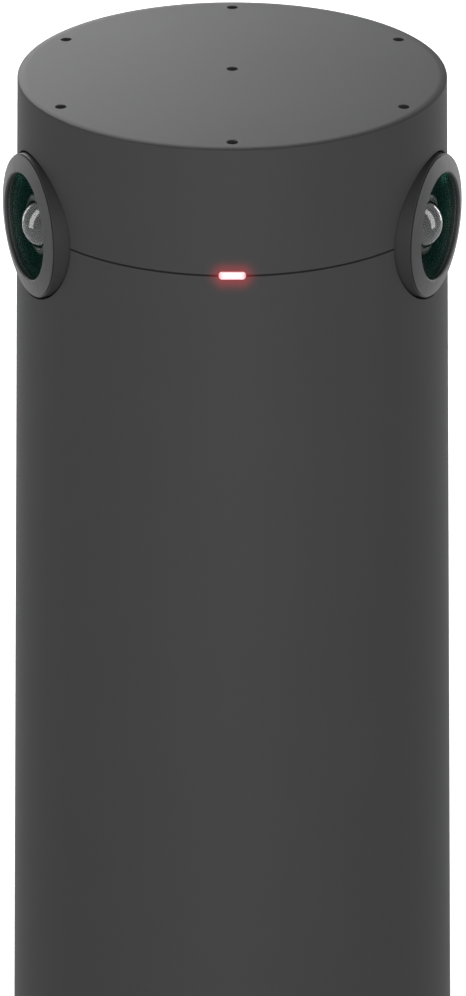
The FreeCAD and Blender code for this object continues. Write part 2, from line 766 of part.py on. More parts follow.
def make_lens_modules():
    pieces = {"lens_barrels": [], "front_elements": [], "inner_elements": []}
    for side, azimuth in LENSES.items():
        pieces["lens_barrels"].append(make_lens_barrel(side))
        pieces["front_elements"].append(make_front_element(side))
        pieces["inner_elements"].append(make_inner_element(side))
        for piece in (make_lens_holder(side), make_sensor_board(side), make_image_sensor(side)):
            aimed(piece, azimuth, lens_height)
        for group in pieces.values():
            aimed(group[-1], azimuth, lens_height)
    for label, group in pieces.items():
        gathered(label, group)


def make_lens_barrel(side):
    """Front ring, barrel and well in one piece, with the flange that the collars hold."""
    lip_top = "(lens_reach + bezel_lip_height)"
    lip_outer = "(bezel_opening + bezel_lip_width)"
    corners = [
        ("0", barrel_back),
        ("bezel_flank_radius", barrel_back),
        ("bezel_flank_radius", "lens_reach - bezel_chamfer"),
        ("bezel_face_radius", "lens_reach"),
        (lip_outer, "lens_reach"),
        (lip_outer, lip_top),
        ("bezel_opening", lip_top),
        ("bezel_opening", well_floor),
        ("0", well_floor),
    ]
    barrel = turned(f"lens_barrel_{side}", corners, is_node=False)
    flange = flat_sketch(barrel, barrel_back)
    polygon(flange, OCTAGON, corner_radius("barrel_flange_radius", OCTAGON), turn=half_step(OCTAGON))
    pad(barrel, flange, "barrel_flange_thickness")
    path = flat_sketch(barrel, barrel_back)
    rectangle(path, "barrel_path_width", "barrel_path_height")
    pocket(barrel, path, "bezel_flank_radius")
    return barrel


def make_front_element(side):
    """Bulging front glass, held by its edge in the barrel's bore."""
    crown = f"{glass_seat} + glass_edge + glass_rise"
    corners = [
        ("0", glass_seat),
        (glass_radius, glass_seat),
        (glass_radius, f"{glass_seat} + glass_edge"),
        ("glass_land", crown),
        ("0", crown),
    ]
    return turned(f"front_element_{side}", corners, is_node=False)


def make_inner_element(side):
    """Small bulging element on the floor of the well."""
    crown = f"{well_floor} + dome_rise"
    corners = [("0", well_floor), ("dome_radius", well_floor), ("dome_land", crown), ("0", crown)]
    return turned(f"inner_element_{side}", corners, is_node=False)


def make_lens_holder(side):
    """Square holder between sensor board and barrel, with the light path through it."""
    holder = new_body(f"lens_holder_{side}")
    square = flat_sketch(holder, holder_back)
    rectangle(square, "holder_width", "holder_width")
    rectangle(square, "light_path_width", "light_path_height")
    pad(holder, square, f"{barrel_back} - fit_clearance - {holder_back}")
    return holder


def make_sensor_board(side):
    """Small square circuit board behind the lens holder."""
    board = new_body(f"sensor_board_{side}")
    level = flat_sketch(board, "sensor_board_reach")
    rectangle(level, "holder_width", "holder_width")
    pad(board, level, "board_thickness")
    return board


def make_image_sensor(side):
    """Image sensor package at the end of the light path."""
    sensor = new_body(f"image_sensor_{side}")
    level = flat_sketch(sensor, holder_back)
    rectangle(level, "sensor_width", "sensor_depth")
    pad(sensor, level, "sensor_height")
    return sensor


# Camera cradle: plate with an upright behind each lens and a tab for the status light

def make_cradle():
    cradle = new_body("camera_cradle")
    level = flat_sketch(cradle, cradle_bottom)
    polygon(level, OCTAGON, "cradle_radius", turn=half_step(OCTAGON))
    rectangle(level, "cradle_window", "cradle_window", "0", "-cradle_window_front")
    pad(cradle, level, "cradle_thickness")
    for azimuth in LENSES.values():
        raise_plate(cradle, azimuth, upright_back, "(upright_width / 2)", "upright_rise")
    tongue = flat_sketch(cradle, cradle_bottom)
    tongue_start = "(cradle_radius / 2)"
    tongue_length = f"({light_board_back} - {tongue_start})"
    rectangle(tongue, "light_board_height", tongue_length, "0", f"-({tongue_start} + {tongue_length} / 2)")
    pad(cradle, tongue, "cradle_thickness")
    half_board = "(light_board_height / 2)"
    raise_plate(cradle, "0", f"({light_board_back} - cradle_thickness)", half_board, half_board)


def raise_plate(cradle, azimuth, reach, half_width, rise):
    """Stands an upright wall on the cradle's plate, up to a rise above the lens axis."""
    wall = facing_sketch(cradle, azimuth, reach, lens_height)
    left, foot = f"-{half_width}", "(-cradle_drop - cradle_thickness / 2)"
    outline(wall, [(left, foot), (half_width, foot), (half_width, rise), (left, rise)])
    pad(cradle, wall, "cradle_thickness")


# Base: one casting with its spine, rubber foot, ballast and tripod insert

def make_base():
    plate_radius = f"({foot_bore_radius} - 2 * fit_clearance)"
    base = turned(
        "base_frame",
        [("0", "base_bottom"), (plate_radius, "base_bottom"), (plate_radius, base_top), ("0", base_top)],
    )
    boss = flat_sketch(base, "base_bottom + base_thickness / 2")
    rectangle(boss, "base_boss_width", "base_boss_width")
    pad(base, boss, "base_boss_height + base_thickness / 2")
    fold = side_sketch(base)
    outline(
        fold,
        [
            ("spine_back", "base_bottom + base_thickness / 2"),
            (spine_rear, "base_bottom + base_thickness / 2"),
            (spine_rear, f"{cradle_bottom} - spine_thickness"),
            ("spine_back + shelf_depth", f"{cradle_bottom} - spine_thickness"),
            ("spine_back + shelf_depth", cradle_bottom),
            ("spine_back", cradle_bottom),
        ],
    )
    pad(base, fold, "spine_width", midplane=True)
    standoffs = facing_sketch(base, "0", "-spine_back")
    for x, z in board_corners():
        rectangle(standoffs, "standoff_width", "standoff_width", x, z)
    pad(base, standoffs, "board_standoff")
    hole = flat_sketch(base, "base_bottom")
    polygon(hole, HEXAGON, corner_radius("(insert_reach + fit_clearance)", HEXAGON))
    pocket(base, hole, "insert_length")
    insert = new_body("tripod_insert")
    level = flat_sketch(insert, "base_bottom")
    polygon(level, HEXAGON, corner_radius("insert_reach", HEXAGON))
    pad(insert, level, "insert_length")
    bore = flat_sketch(insert, "base_bottom")
    circle(bore, "insert_bore")
    pocket(insert, bore, "insert_depth")
    inside, outside = "foot_bore", "foot_outer"
    turned("foot_pad", [(inside, "0"), (outside, "0"), (outside, "base_bottom"), (inside, "base_bottom")])
    front = "(base_boss_width / 2 + ballast_gap + ballast_depth / 2)"
    size = ("ballast_width", "ballast_depth", "ballast_height")
    nodes.append(block("ballast_block", *size, "0", f"-{front}", base_top))


def side_sketch(body):
    """A sketch seen from the side, whose X runs to the rear and whose Y runs up."""
    sketch = body.newObject("Sketcher::SketchObject", "SideView")
    sketch.AttachmentSupport = [(origin_plane(body, "YZ_Plane"), "")]
    sketch.MapMode = "FlatFace"
    return sketch


# Main board with its chips on both faces, and the heat sink behind the spine

def board_corners():
    """Standoffs at the main board's corners, seen from the front."""
    side = "(spine_width / 2 - standoff_width / 2)"
    low, high = "(board_bottom + standoff_width / 2)", f"({board_top} - standoff_width / 2)"
    return [(f"-{side}", low), (side, low), (side, high), (f"-{side}", high)]


def make_main_board():
    board = new_body("main_board")
    face = facing_sketch(board, "0", f"-{board_back}")
    rectangle(face, "spine_width", f"({board_top} - board_bottom)", "0", board_middle)
    pad(board, face, "main_board_thickness")
    cans = new_body("shield_cans")
    can_face = facing_sketch(cans, "0", f"-{board_front}")
    for step in ("-shield_spacing / 2", "shield_spacing / 2"):
        rectangle(can_face, "shield_width", "shield_length", "0", f"{board_middle} + {step}")
    pad(cans, can_face, "shield_height")
    processor = new_body("processor")
    chip_face = facing_sketch(processor, "0", f"-({board_back} + processor_height)")
    rectangle(chip_face, "processor_width", "processor_width", "0", board_middle)
    pad(processor, chip_face, "processor_height")
    thermal_pad = new_body("thermal_pad")
    pad_face = facing_sketch(thermal_pad, "0", "-spine_back")
    rectangle(pad_face, "processor_width", "processor_width", "0", board_middle)
    pad(thermal_pad, pad_face, "board_standoff - processor_height")
    memory = new_body("memory_chips")
    memory_face = facing_sketch(memory, "0", f"-({board_back} + memory_height)")
    for step in ("-memory_spacing / 2", "memory_spacing / 2"):
        rectangle(memory_face, "memory_width", "memory_length", "0", f"{board_middle} + {step}")
    pad(memory, memory_face, "memory_height")


def make_heat_sink():
    """Finned block on the rear of the spine, behind the processor."""
    sink = new_body("heat_sink")
    level = flat_sketch(sink, f"{board_middle} - sink_length / 2")
    pitch = "((sink_width - fin_thickness) / (fin_count - 1))"
    valley = f"({spine_rear} + sink_base)"
    tip = f"({spine_rear} + sink_depth)"
    corners = [("-sink_width / 2", spine_rear), ("sink_width / 2", spine_rear)]
    count = int(value("fin_count"))
    for index in reversed(range(count)):
        left = f"(-sink_width / 2 + {index} * {pitch})"
        right = f"({left} + fin_thickness)"
        if index < count - 1:
            corners.append((right, valley))
        corners.append((right, tip))
        corners.append((left, tip))
        if index > 0:
            corners.append((left, valley))
    outline(level, corners)
    pad(sink, level, "sink_length")


# Ports: recessed panel, jacks, lock slot, port board and reset button

def rear_sketch(body, reach, height="port_height"):
    """An upright sketch that faces the rear; its X runs to the left seen from the front."""
    return facing_sketch(body, "180", reach, height)


def make_port_panel():
    panel = new_body("port_panel")
    shell = rear_sketch(panel, panel_back)
    rectangle(shell, "(recess_width + 2 * panel_wall)", "(recess_height + 2 * panel_wall)")
    pad(panel, shell, "rim_radius / 2")
    trim = section_sketch(panel)
    low, high = "port_height - recess_height", "port_height + recess_height"
    reach = f"({foot_bore_radius} - fit_clearance)"
    outline(trim, [(reach, low), (FAR, low), (FAR, high), (reach, high)])
    groove(panel, trim)
    recess = rear_sketch(panel, "panel_reach")
    rounded_rectangle(recess, "recess_width", "recess_height", "recess_corner")
    pocket(panel, recess, "rim_radius / 2")
    holes = rear_sketch(panel, "rim_radius / 2")
    rectangle(holes, "(jack_width + 2 * fit_clearance)", "(jack_height + 2 * fit_clearance)", "-jack_side")
    stadium(holes, "usb_width + 2 * fit_clearance", "usb_height + 2 * fit_clearance",
            "-usb_side", f"({usb_middle} - port_height)")
    rectangle(holes, "lock_width", "lock_height", "-lock_side")
    circle(holes, "reset_radius + reset_clearance", "-reset_side", f"{reset_height} - port_height")
    pocket(panel, holes, "rim_radius")


def make_network_jack():
    jack = new_body("network_jack")
    front = rear_sketch(jack, "panel_reach - jack_depth")
    rectangle(front, "jack_width", "jack_height", "-jack_side")
    pad(jack, front, "jack_depth")
    socket = rear_sketch(jack, "panel_reach - socket_depth")
    left, right = "(-jack_side - socket_width / 2)", "(-jack_side + socket_width / 2)"
    high = "(socket_lift + socket_height / 2)"
    low = "(socket_lift - socket_height / 2)"
    latch_left, latch_right = "(-jack_side - latch_width / 2)", "(-jack_side + latch_width / 2)"
    latch_low = f"({low} - latch_height)"
    outline(
        socket,
        [
            (latch_left, latch_low),
            (latch_right, latch_low),
            (latch_right, low),
            (right, low),
            (right, high),
            (left, high),
            (left, low),
            (latch_left, low),
        ],
    )
    pocket(jack, socket, "jack_depth")
    contacts = []
    ceiling = f"(port_height + {high})"
    back = "(panel_reach - socket_depth)"
    for index in range(int(value("contact_count"))):
        contact = new_body(f"contact_{index}", is_node=False)
        side_view = side_sketch(contact)
        outline(
            side_view,
            [
                (back, ceiling),
                (back, f"{ceiling} - contact_rise"),
                (f"{back} + contact_width", f"{ceiling} - contact_rise"),
                (f"{back} + socket_depth * 2 / 3", ceiling),
            ],
        )
        pad(contact, side_view, "contact_width", midplane=True)
        moved(contact, f"jack_side + contact_pitch * ({index} - (contact_count - 1) / 2)")
        contacts.append(contact)
    gathered("network_contacts", contacts)


def make_data_jack():
    jack = new_body("usb_jack")
    front = rear_sketch(jack, "panel_reach - usb_depth", usb_middle)
    stadium(front, "usb_width", "usb_height", "-usb_side")
    pad(jack, front, "usb_depth")
    mouth = rear_sketch(jack, "panel_reach - tongue_length", usb_middle)
    stadium(mouth, "usb_width - 2 * usb_shell", "usb_height - 2 * usb_shell", "-usb_side")
    pocket(jack, mouth, "usb_depth")
    tongue = new_body("usb_tongue")
    blade = rear_sketch(tongue, "panel_reach - tongue_length", usb_middle)
    rectangle(blade, "tongue_span", "tongue_height", "-usb_side")
    pad(tongue, blade, "tongue_length - usb_shell")


def make_lock_slot():
    plate = new_body("lock_slot_plate")
    face = rear_sketch(plate, f"{panel_back} - lock_plate_thickness")
    rectangle(face, "lock_plate_width", "lock_plate_height", "-lock_side")
    rectangle(face, "lock_width", "lock_height", "-lock_side")
    pad(plate, face, "lock_plate_thickness")


def io_standoff_places():
    """Standoffs under the port board."""
    side = "(spine_width / 2 - io_edge)"
    near, far = "(io_board_front + io_edge)", f"({io_board_back} - io_edge)"
    return [(f"-{side}", near), (side, near), (side, far), (f"-{side}", far)]


def make_port_board():
    board = new_body("io_board")
    level = flat_sketch(board, io_board_bottom)
    depth = f"({io_board_back} - io_board_front)"
    rectangle(level, "io_board_width", depth, "0", f"({io_board_back} + io_board_front) / 2")
    pad(board, level, "main_board_thickness")
    standoffs = new_body("io_standoffs")
    feet = flat_sketch(standoffs, base_top)
    for x, y in io_standoff_places():
        polygon(feet, HEXAGON, corner_radius("(io_standoff_width / 2)", HEXAGON), x, y)
    pad(standoffs, feet, f"{io_board_bottom} - {base_top}")


def make_reset():
    button_back = f"({panel_back} - fit_clearance - reset_flange_height)"
    switch_front = f"({button_back} - reset_travel - fit_clearance)"
    switch = new_body("reset_switch")
    front = rear_sketch(switch, f"{switch_front} - switch_depth", f"{io_board_top} + switch_height / 2")
    rectangle(front, "switch_width", "switch_height", "-reset_side")
    pad(switch, front, "switch_depth")
    button = new_body("reset_button")
    flange = rear_sketch(button, button_back, reset_height)
    rectangle(flange, "reset_flange", "reset_flange", "-reset_side")
    pad(button, flange, "reset_flange_height")
    cap = rear_sketch(button, button_back, reset_height)
    circle(cap, "reset_radius", "-reset_side")
    pad(button, cap, f"panel_reach + reset_rise - {button_back}")


make_cap()
make_main_housing()
make_status_light()
make_microphones()
make_lens_modules()
make_cradle()
make_base()
make_main_board()
make_heat_sink()
make_port_panel()
make_network_jack()
make_data_jack()
make_lock_slot()
make_port_board()
make_reset()
doc.recompute()


# Every feature and every node is checked before anything is written

for thing in doc.Objects:
    if "Invalid" in thing.State or "Error" in thing.State:
        raise RuntimeError(f"{thing.Label} could not be made: {thing.State}")
    if thing.TypeId in ("PartDesign::Pocket", "PartDesign::Groove"):
        if thing.Shape.Volume >= thing.BaseFeature.Shape.Volume - 1e-6:
            raise RuntimeError(f"{thing.Label} of {thing.getParentGeoFeatureGroup().Label} cuts nothing")
for node in nodes:
    if node.Shape.isNull() or not node.Shape.isValid():
        raise RuntimeError(f"{node.Label} is not a valid solid")

os.makedirs("parts", exist_ok=True)
for node in nodes:
    node.Shape.exportStep(f"parts/{node.Label}.step")
    box = node.Shape.BoundBox
    shape = f"{len(node.Shape.Solids)} solids, {node.Shape.Volume:.1f} mm3"
    print(f"{node.Label}: {shape}, z {box.ZMin:.2f} to {box.ZMax:.2f}")
print(f"{len(nodes)} nodes")
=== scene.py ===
"""Looks of a tall tabletop conference camera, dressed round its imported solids.

Lengths in the classes are millimetres and angles are degrees; a mesh is turned
into metres when it is made.  +Z is up and the status light faces -Y, as in the
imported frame.  An azimuth is measured from the front, towards +X.
"""

import logging
import math
from collections.abc import Callable, Mapping, Sequence
from dataclasses import dataclass, field
from enum import Enum

import bpy
import numpy as np
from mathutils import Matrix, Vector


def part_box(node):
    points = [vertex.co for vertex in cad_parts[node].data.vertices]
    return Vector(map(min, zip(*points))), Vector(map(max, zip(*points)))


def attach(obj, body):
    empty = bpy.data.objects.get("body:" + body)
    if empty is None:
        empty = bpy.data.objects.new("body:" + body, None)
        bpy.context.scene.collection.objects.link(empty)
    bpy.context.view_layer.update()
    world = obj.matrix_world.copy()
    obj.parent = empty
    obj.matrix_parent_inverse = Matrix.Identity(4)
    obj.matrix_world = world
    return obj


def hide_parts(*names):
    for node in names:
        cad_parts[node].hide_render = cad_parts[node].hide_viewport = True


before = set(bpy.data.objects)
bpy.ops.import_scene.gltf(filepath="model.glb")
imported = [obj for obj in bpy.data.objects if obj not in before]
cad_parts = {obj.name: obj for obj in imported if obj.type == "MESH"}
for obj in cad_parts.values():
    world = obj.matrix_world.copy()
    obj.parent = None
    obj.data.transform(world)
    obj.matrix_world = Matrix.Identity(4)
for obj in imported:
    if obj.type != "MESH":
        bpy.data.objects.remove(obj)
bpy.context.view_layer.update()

LOG = logging.getLogger("conference_camera")
MM = 0.001
FULL_TURN = 360.0
WHITE = (1.0, 1.0, 1.0, 1.0)

# A corner counts as part of the tapered side when it lies this near to it, in
# millimetres, in a face that bends less than this many degrees from it.
SIDE_REACH = 2e-3
SIDE_BEND = 4.0

# Places in the square of the grid round a microphone port, as shares of its half
# width: edge of the port's floor, top of its wall and outer edge of its lip.
PORT_FLOOR, PORT_WALL, PORT_LIP = 0.70, 0.76, 0.82


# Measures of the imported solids

def span(node: str) -> np.ndarray:
    """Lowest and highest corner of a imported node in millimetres, as a 2 by 3 array."""
    return np.array([list(corner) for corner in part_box(node)]) / MM


class Body(Enum):
    """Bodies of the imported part."""

    CAMERA = "camera"
    RESET = "reset_button"


# Surfaces as arrays

@dataclass
class Patch:
    """One grid of points with the slot of each of its faces.

    Attributes:
        points: Rows by columns by 3 array, in millimetres.
        slots: Material slot of each face, rows - 1 by columns - 1, or one number.
        inward: True where the grid's own order would point the faces inwards.
    """

    points: np.ndarray
    slots: np.ndarray | int = 0
    inward: bool = False

    def quads(self, first: int) -> np.ndarray:
        """Corner numbers of the faces, with the patch's first point numbered first.

        Args:
            first: Number of the patch's first point in the whole mesh.

        Returns:
            One row of four corner numbers per face.
        """
        rows, columns = self.points.shape[:2]
        index = first + np.arange(rows * columns).reshape(rows, columns)
        corners = (index[:-1, :-1], index[:-1, 1:], index[1:, 1:], index[1:, :-1])
        faces = np.stack(corners, axis=-1).reshape(-1, 4)
        return faces[:, ::-1] if self.inward else faces

    def face_slots(self) -> np.ndarray:
        """Material slot of every face as a flat array."""
        rows, columns = self.points.shape[:2]
        return np.broadcast_to(self.slots, (rows - 1, columns - 1)).reshape(-1)


def welded(
    points: np.ndarray, quads: np.ndarray, slots: np.ndarray
) -> tuple[np.ndarray, list[list[int]], np.ndarray]:
    """Merges points that fall together, so that seams and poles are closed.

    Points are equal where they agree to a ten-thousandth of a millimetre.  A quad
    with two equal neighbours becomes a triangle, and one with fewer corners goes.

    Args:
        points: All points, one per row.
        quads: Four corner numbers per face.
        slots: Material slot per face.

    Returns:
        The kept points, the faces as lists and their slots.
    """
    keys = np.round(points * 1e4).astype(np.int64)
    _, kept, renumbered = np.unique(keys, axis=0, return_index=True, return_inverse=True)
    faces = renumbered.reshape(-1)[quads]
    repeats = faces == np.roll(faces, -1, axis=1)
    count = repeats.sum(axis=1)
    whole = faces[count == 0]
    single = count == 1
    shifts = np.argmax(repeats[single], axis=1)
    order = (shifts[:, None] + np.arange(1, 4)) % 4
    triangles = np.take_along_axis(faces[single], order, axis=1)
    apart = (triangles[:, 0] != triangles[:, 1]) & (triangles[:, 1] != triangles[:, 2])
    apart &= triangles[:, 0] != triangles[:, 2]
    sorted_slots = np.concatenate([slots[count == 0], slots[single][apart]])
    return points[kept], whole.tolist() + triangles[apart].tolist(), sorted_slots


def make_piece(
    name: str,
    patches: Sequence[Patch],
    finishes: Sequence[bpy.types.Material],
    body: Body = Body.CAMERA,
    replaces: Sequence[str] = (),
    sharp: float = 35.0,
) -> bpy.types.Object:
    """Turns patches into one object that rides on a body.

    Args:
        name: Name of the piece.
        patches: Grids that make up its surface.
        finishes: Materials, in the order of the patches' slots.
        body: Body that carries the piece.
        replaces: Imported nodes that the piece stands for.
        sharp: Edges that bend more than this many degrees stay sharp.

    Returns:
        The new object, at the origin.
    """
    starts = np.cumsum([0] + [patch.points.shape[0] * patch.points.shape[1] for patch in patches])
    points = np.concatenate([patch.points.reshape(-1, 3) for patch in patches])
    quads = np.concatenate([patch.quads(int(start)) for patch, start in zip(patches, starts)])
    slots = np.concatenate([patch.face_slots() for patch in patches])
    points, faces, slots = welded(points, quads, slots)
    mesh = bpy.data.meshes.new(name)
    mesh.from_pydata((points * MM).tolist(), [], faces)
    for finish in finishes:
        mesh.materials.append(finish)
    mesh.polygons.foreach_set("material_index", slots.astype(np.int32))
    mesh.update()
    mesh.shade_smooth()
    mesh.set_sharp_from_angle(angle=math.radians(sharp))
    piece = bpy.data.objects.new(name, mesh)
    bpy.context.scene.collection.objects.link(piece)
    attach(piece, body.value)
    if replaces:
        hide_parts(*replaces)
    LOG.info("%s: %d faces on body %s", name, len(faces), body.value)
    return piece


def smooth_side(
    piece: bpy.types.Object, radius: Callable[[np.ndarray], np.ndarray], draft: float
) -> None:
    """Gives the tapered side its true normals, so that narrow faces don't show.

    Every corner that counts as part of the side gets the cone's normal
    (sin a, -cos a, tan draft).

    Args:
        piece: Piece whose surface holds the side.
        radius: Outside radius at a height, in millimetres.
        draft: Taper of the side, in degrees.
    """
    mesh = piece.data
    points = np.empty(len(mesh.vertices) * 3)
    mesh.vertices.foreach_get("co", points)
    points = points.reshape(-1, 3) / MM
    corners = np.empty(len(mesh.loops), dtype=np.int32)
    mesh.loops.foreach_get("vertex_index", corners)
    faces = np.empty(len(mesh.polygons) * 3)
    mesh.polygons.foreach_get("normal", faces)
    totals = np.empty(len(mesh.polygons), dtype=np.int32)
    mesh.polygons.foreach_get("loop_total", totals)
    face_normals = np.repeat(faces.reshape(-1, 3), totals, axis=0)
    place = points[corners]
    across = np.hypot(place[:, 0], place[:, 1])
    upward = np.full_like(across, math.tan(math.radians(draft)))
    cone = np.column_stack([place[:, :2] / across.clip(1e-6)[:, None], upward])
    cone /= np.linalg.norm(cone, axis=1, keepdims=True)
    on_side = np.abs(across - radius(place[:, 2])) < SIDE_REACH
    on_side &= (cone * face_normals).sum(axis=1) > math.cos(math.radians(SIDE_BEND))
    mesh.normals_split_custom_set(np.where(on_side[:, None], cone, 0.0).tolist())


def softened(corners: Sequence[tuple[float, ...]], steps: int = 4) -> np.ndarray:
    """A profile with its corners cut by short curves.

    A corner is (across, along) or (across, along, radius).  Each rounded corner
    becomes a quadratic curve: (1-t)^2 before + 2t(1-t) corner + t^2 after, where
    before and after lie on the two runs at the radius from the corner.

    Args:
        corners: Corners of the profile in order.
        steps: Points per rounded corner, less one.

    Returns:
        The profile's points, one per row.
    """
    plain = np.array([corner[:2] for corner in corners], dtype=float)
    share = np.linspace(0.0, 1.0, steps + 1)[:, None]
    runs: list[np.ndarray] = []
    for number, corner in enumerate(corners):
        here = plain[number]
        if len(corner) < 3 or number in (0, len(corners) - 1):
            runs.append(here[None, :])
            continue
        before, after = plain[number - 1] - here, plain[number + 1] - here
        start = here + before / np.linalg.norm(before) * corner[2]
        finish = here + after / np.linalg.norm(after) * corner[2]
        runs.append((1 - share) ** 2 * start + 2 * share * (1 - share) * here + share**2 * finish)
    return np.concatenate(runs)


def placed(radius: np.ndarray, azimuth: np.ndarray, height: np.ndarray | float) -> np.ndarray:
    """Points round the column's axis.

    Point = (radius sin a, -radius cos a, height) for azimuth a.

    Args:
        radius: Distance of each point from the axis.
        azimuth: Azimuth of each point, in degrees.
        height: Height of each point.

    Returns:
        The points, in an array with one more axis than the three have together.
    """
    angle = np.radians(azimuth)
    parts = np.broadcast_arrays(radius * np.sin(angle), -radius * np.cos(angle), height)
    return np.stack(parts, axis=-1)


def turned(profile: np.ndarray, azimuths: np.ndarray) -> np.ndarray:
    """Turns a profile of (radius, height) about the column's axis, one column per azimuth."""
    return placed(profile[:, :1], azimuths[None, :], profile[:, 1:2])


def around(count: int) -> np.ndarray:
    """Azimuths of a full turn in even steps, with the first one repeated at the end."""
    return np.linspace(0.0, FULL_TURN, count + 1)


@dataclass(frozen=True)
class Axis:
    """A straight axis through a place, with two directions across it.

    Attributes:
        place: A point on the axis, in millimetres.
        out: Unit vector along the axis.
        side: Unit vector across the axis.
        rise: Unit vector across both.
    """

    place: np.ndarray
    out: np.ndarray
    side: np.ndarray
    rise: np.ndarray

    @classmethod
    def facing(cls, azimuth: float, height: float, shift: float = 0.0) -> "Axis":
        """An axis that looks outwards from the column.

        Args:
            azimuth: Direction that it looks in, in degrees.
            height: Height of the axis.
            shift: Distance of the axis to its own side.

        Returns:
            The axis, whose place lies at the column's middle.
        """
        angle = math.radians(azimuth)
        side = np.array([math.cos(angle), math.sin(angle), 0.0])
        out = np.array([math.sin(angle), -math.cos(angle), 0.0])
        rise = np.array([0.0, 0.0, 1.0])
        return cls(rise * height + side * shift, out, side, rise)

    def at(self, across: np.ndarray, up: np.ndarray, along: np.ndarray) -> np.ndarray:
        """Points at distances across, up and along the axis."""
        sideways, upwards = across[..., None] * self.side, up[..., None] * self.rise
        return self.place + sideways + upwards + along[..., None] * self.out

    def turned(self, profile: np.ndarray, count: int = 96) -> np.ndarray:
        """Turns a profile of (radius, distance along) about the axis.

        Point = place + radius (cos t side + sin t rise) + distance out.

        Args:
            profile: Radius and distance of each row.
            count: Steps of a full turn.

        Returns:
            Rows by columns by 3 array of points.
        """
        angle = np.linspace(0.0, 2 * math.pi, count + 1)[None, :]
        radius = profile[:, :1]
        along = np.broadcast_to(profile[:, 1:2], (len(profile), count + 1))
        return self.at(radius * np.cos(angle), radius * np.sin(angle), along)

    def carried(self, loops: Sequence[tuple[np.ndarray, float]]) -> np.ndarray:
        """Outlines of equal length, each at a distance along the axis, as rows of points."""
        return np.stack([self.at(*loop.T, np.full(len(loop), along)) for loop, along in loops])


def star_loop(corners: Sequence[tuple[float, float]], angles: np.ndarray) -> np.ndarray:
    """Points where rays from the middle meet an outline that is seen whole from there.

    A ray t d meets the edge P + s E where t = (P x E) / (d x E) and
    s = (P x d) / (d x E), with 0 <= s <= 1.

    Args:
        corners: Corners of the outline round the middle (0, 0).
        angles: Angle of each ray.

    Returns:
        One point (across, up) per ray.
    """
    start = np.array(corners, dtype=float)
    run = np.roll(start, -1, axis=0) - start
    ray = np.stack([np.cos(angles), np.sin(angles)], axis=1)
    with np.errstate(divide="ignore", invalid="ignore"):
        cross = ray[:, :1] * run[None, :, 1] - ray[:, 1:] * run[None, :, 0]
        reach = (start[:, 0] * run[:, 1] - start[:, 1] * run[:, 0])[None, :] / cross
        share = (start[None, :, 0] * ray[:, 1:] - start[None, :, 1] * ray[:, :1]) / cross
    meets = (share > -1e-9) & (share < 1 + 1e-9) & (reach > 0)
    return ray * np.where(meets, reach, np.inf).min(axis=1)[:, None]


def corner_angles(*outlines: Sequence[tuple[float, float]], count: int = 64) -> np.ndarray:
    """Even angles of a full turn and the angle of every corner, with the first one repeated."""
    corners = np.concatenate([np.array(outline, dtype=float) for outline in outlines])
    own = np.mod(np.arctan2(corners[:, 1], corners[:, 0]), 2 * math.pi)
    even = np.linspace(0, 2 * math.pi, count, endpoint=False)
    angles = np.unique(np.round(np.concatenate([own, even]), 9))
    return np.append(angles, angles[0] + 2 * math.pi)


def rectangle(width: float, height: float) -> list[tuple[float, float]]:
    """Corners of a rectangle round the middle, anticlockwise."""
    across, up = width / 2, height / 2
    return [(across, -up), (across, up), (-across, up), (-across, -up)]


def stadium(run: float, radius: float, count: int = 48) -> np.ndarray:
    """Points of a round-ended outline: (+-run + radius cos t, radius sin t)."""
    angle = np.linspace(0.0, 2 * math.pi, count + 1)
    side = np.where(np.cos(angle) > 0, run, -run)
    return np.stack([side + radius * np.cos(angle), radius * np.sin(angle)], axis=1)


def widened(loop: np.ndarray, extra: float) -> np.ndarray:
    """An outline with every point moved away from the middle."""
    return loop * (1 + extra / np.linalg.norm(loop, axis=1, keepdims=True))


def capped(rows: np.ndarray) -> np.ndarray:
    """Closes a tube of points: each end gets a row at the mean of the tube's own end row."""
    ends = [np.broadcast_to(rows[end].mean(axis=0), rows[:1].shape) for end in (0, -1)]
    return np.concatenate([ends[0], rows, ends[1]])


def zipped(
    first: np.ndarray, first_azimuth: np.ndarray, second: np.ndarray, second_azimuth: np.ndarray
) -> np.ndarray:
    """Joins two rings that have different columns.

    At each azimuth of either ring both rows take their last point up to there, so
    that every step is a triangle, or a quad where both rings have a point.

    Args:
        first: Points of the first ring.
        first_azimuth: Their azimuths, a full turn with both ends.
        second: Points of the second ring.
        second_azimuth: Their azimuths, a full turn with both ends.

    Returns:
        2 by columns by 3 array of points.
    """
    start = max(first_azimuth[0], second_azimuth[0])
    rows, lines = [], []
    for points, azimuth in ((first, first_azimuth), (second, second_azimuth)):
        turns = np.concatenate([azimuth[:-1], azimuth[:-1] + FULL_TURN])
        chosen = np.flatnonzero((turns >= start - 1e-9) & (turns < start + FULL_TURN - 1e-9))
        ring = np.concatenate([points[:-1], points[:-1]])[chosen]
        lines.append(turns[chosen])
        rows.append(np.concatenate([ring, ring[:1]]))
    events = np.unique(np.round(np.concatenate(lines + [[start + FULL_TURN]]), 7))
    picked = []
    for ring, line in zip(rows, lines):
        number = np.searchsorted(np.round(line, 7), events, side="right") - 1
        number = np.maximum(number, 0)
        number[-1] = len(line)
        picked.append(ring[number])
    return np.stack(picked)


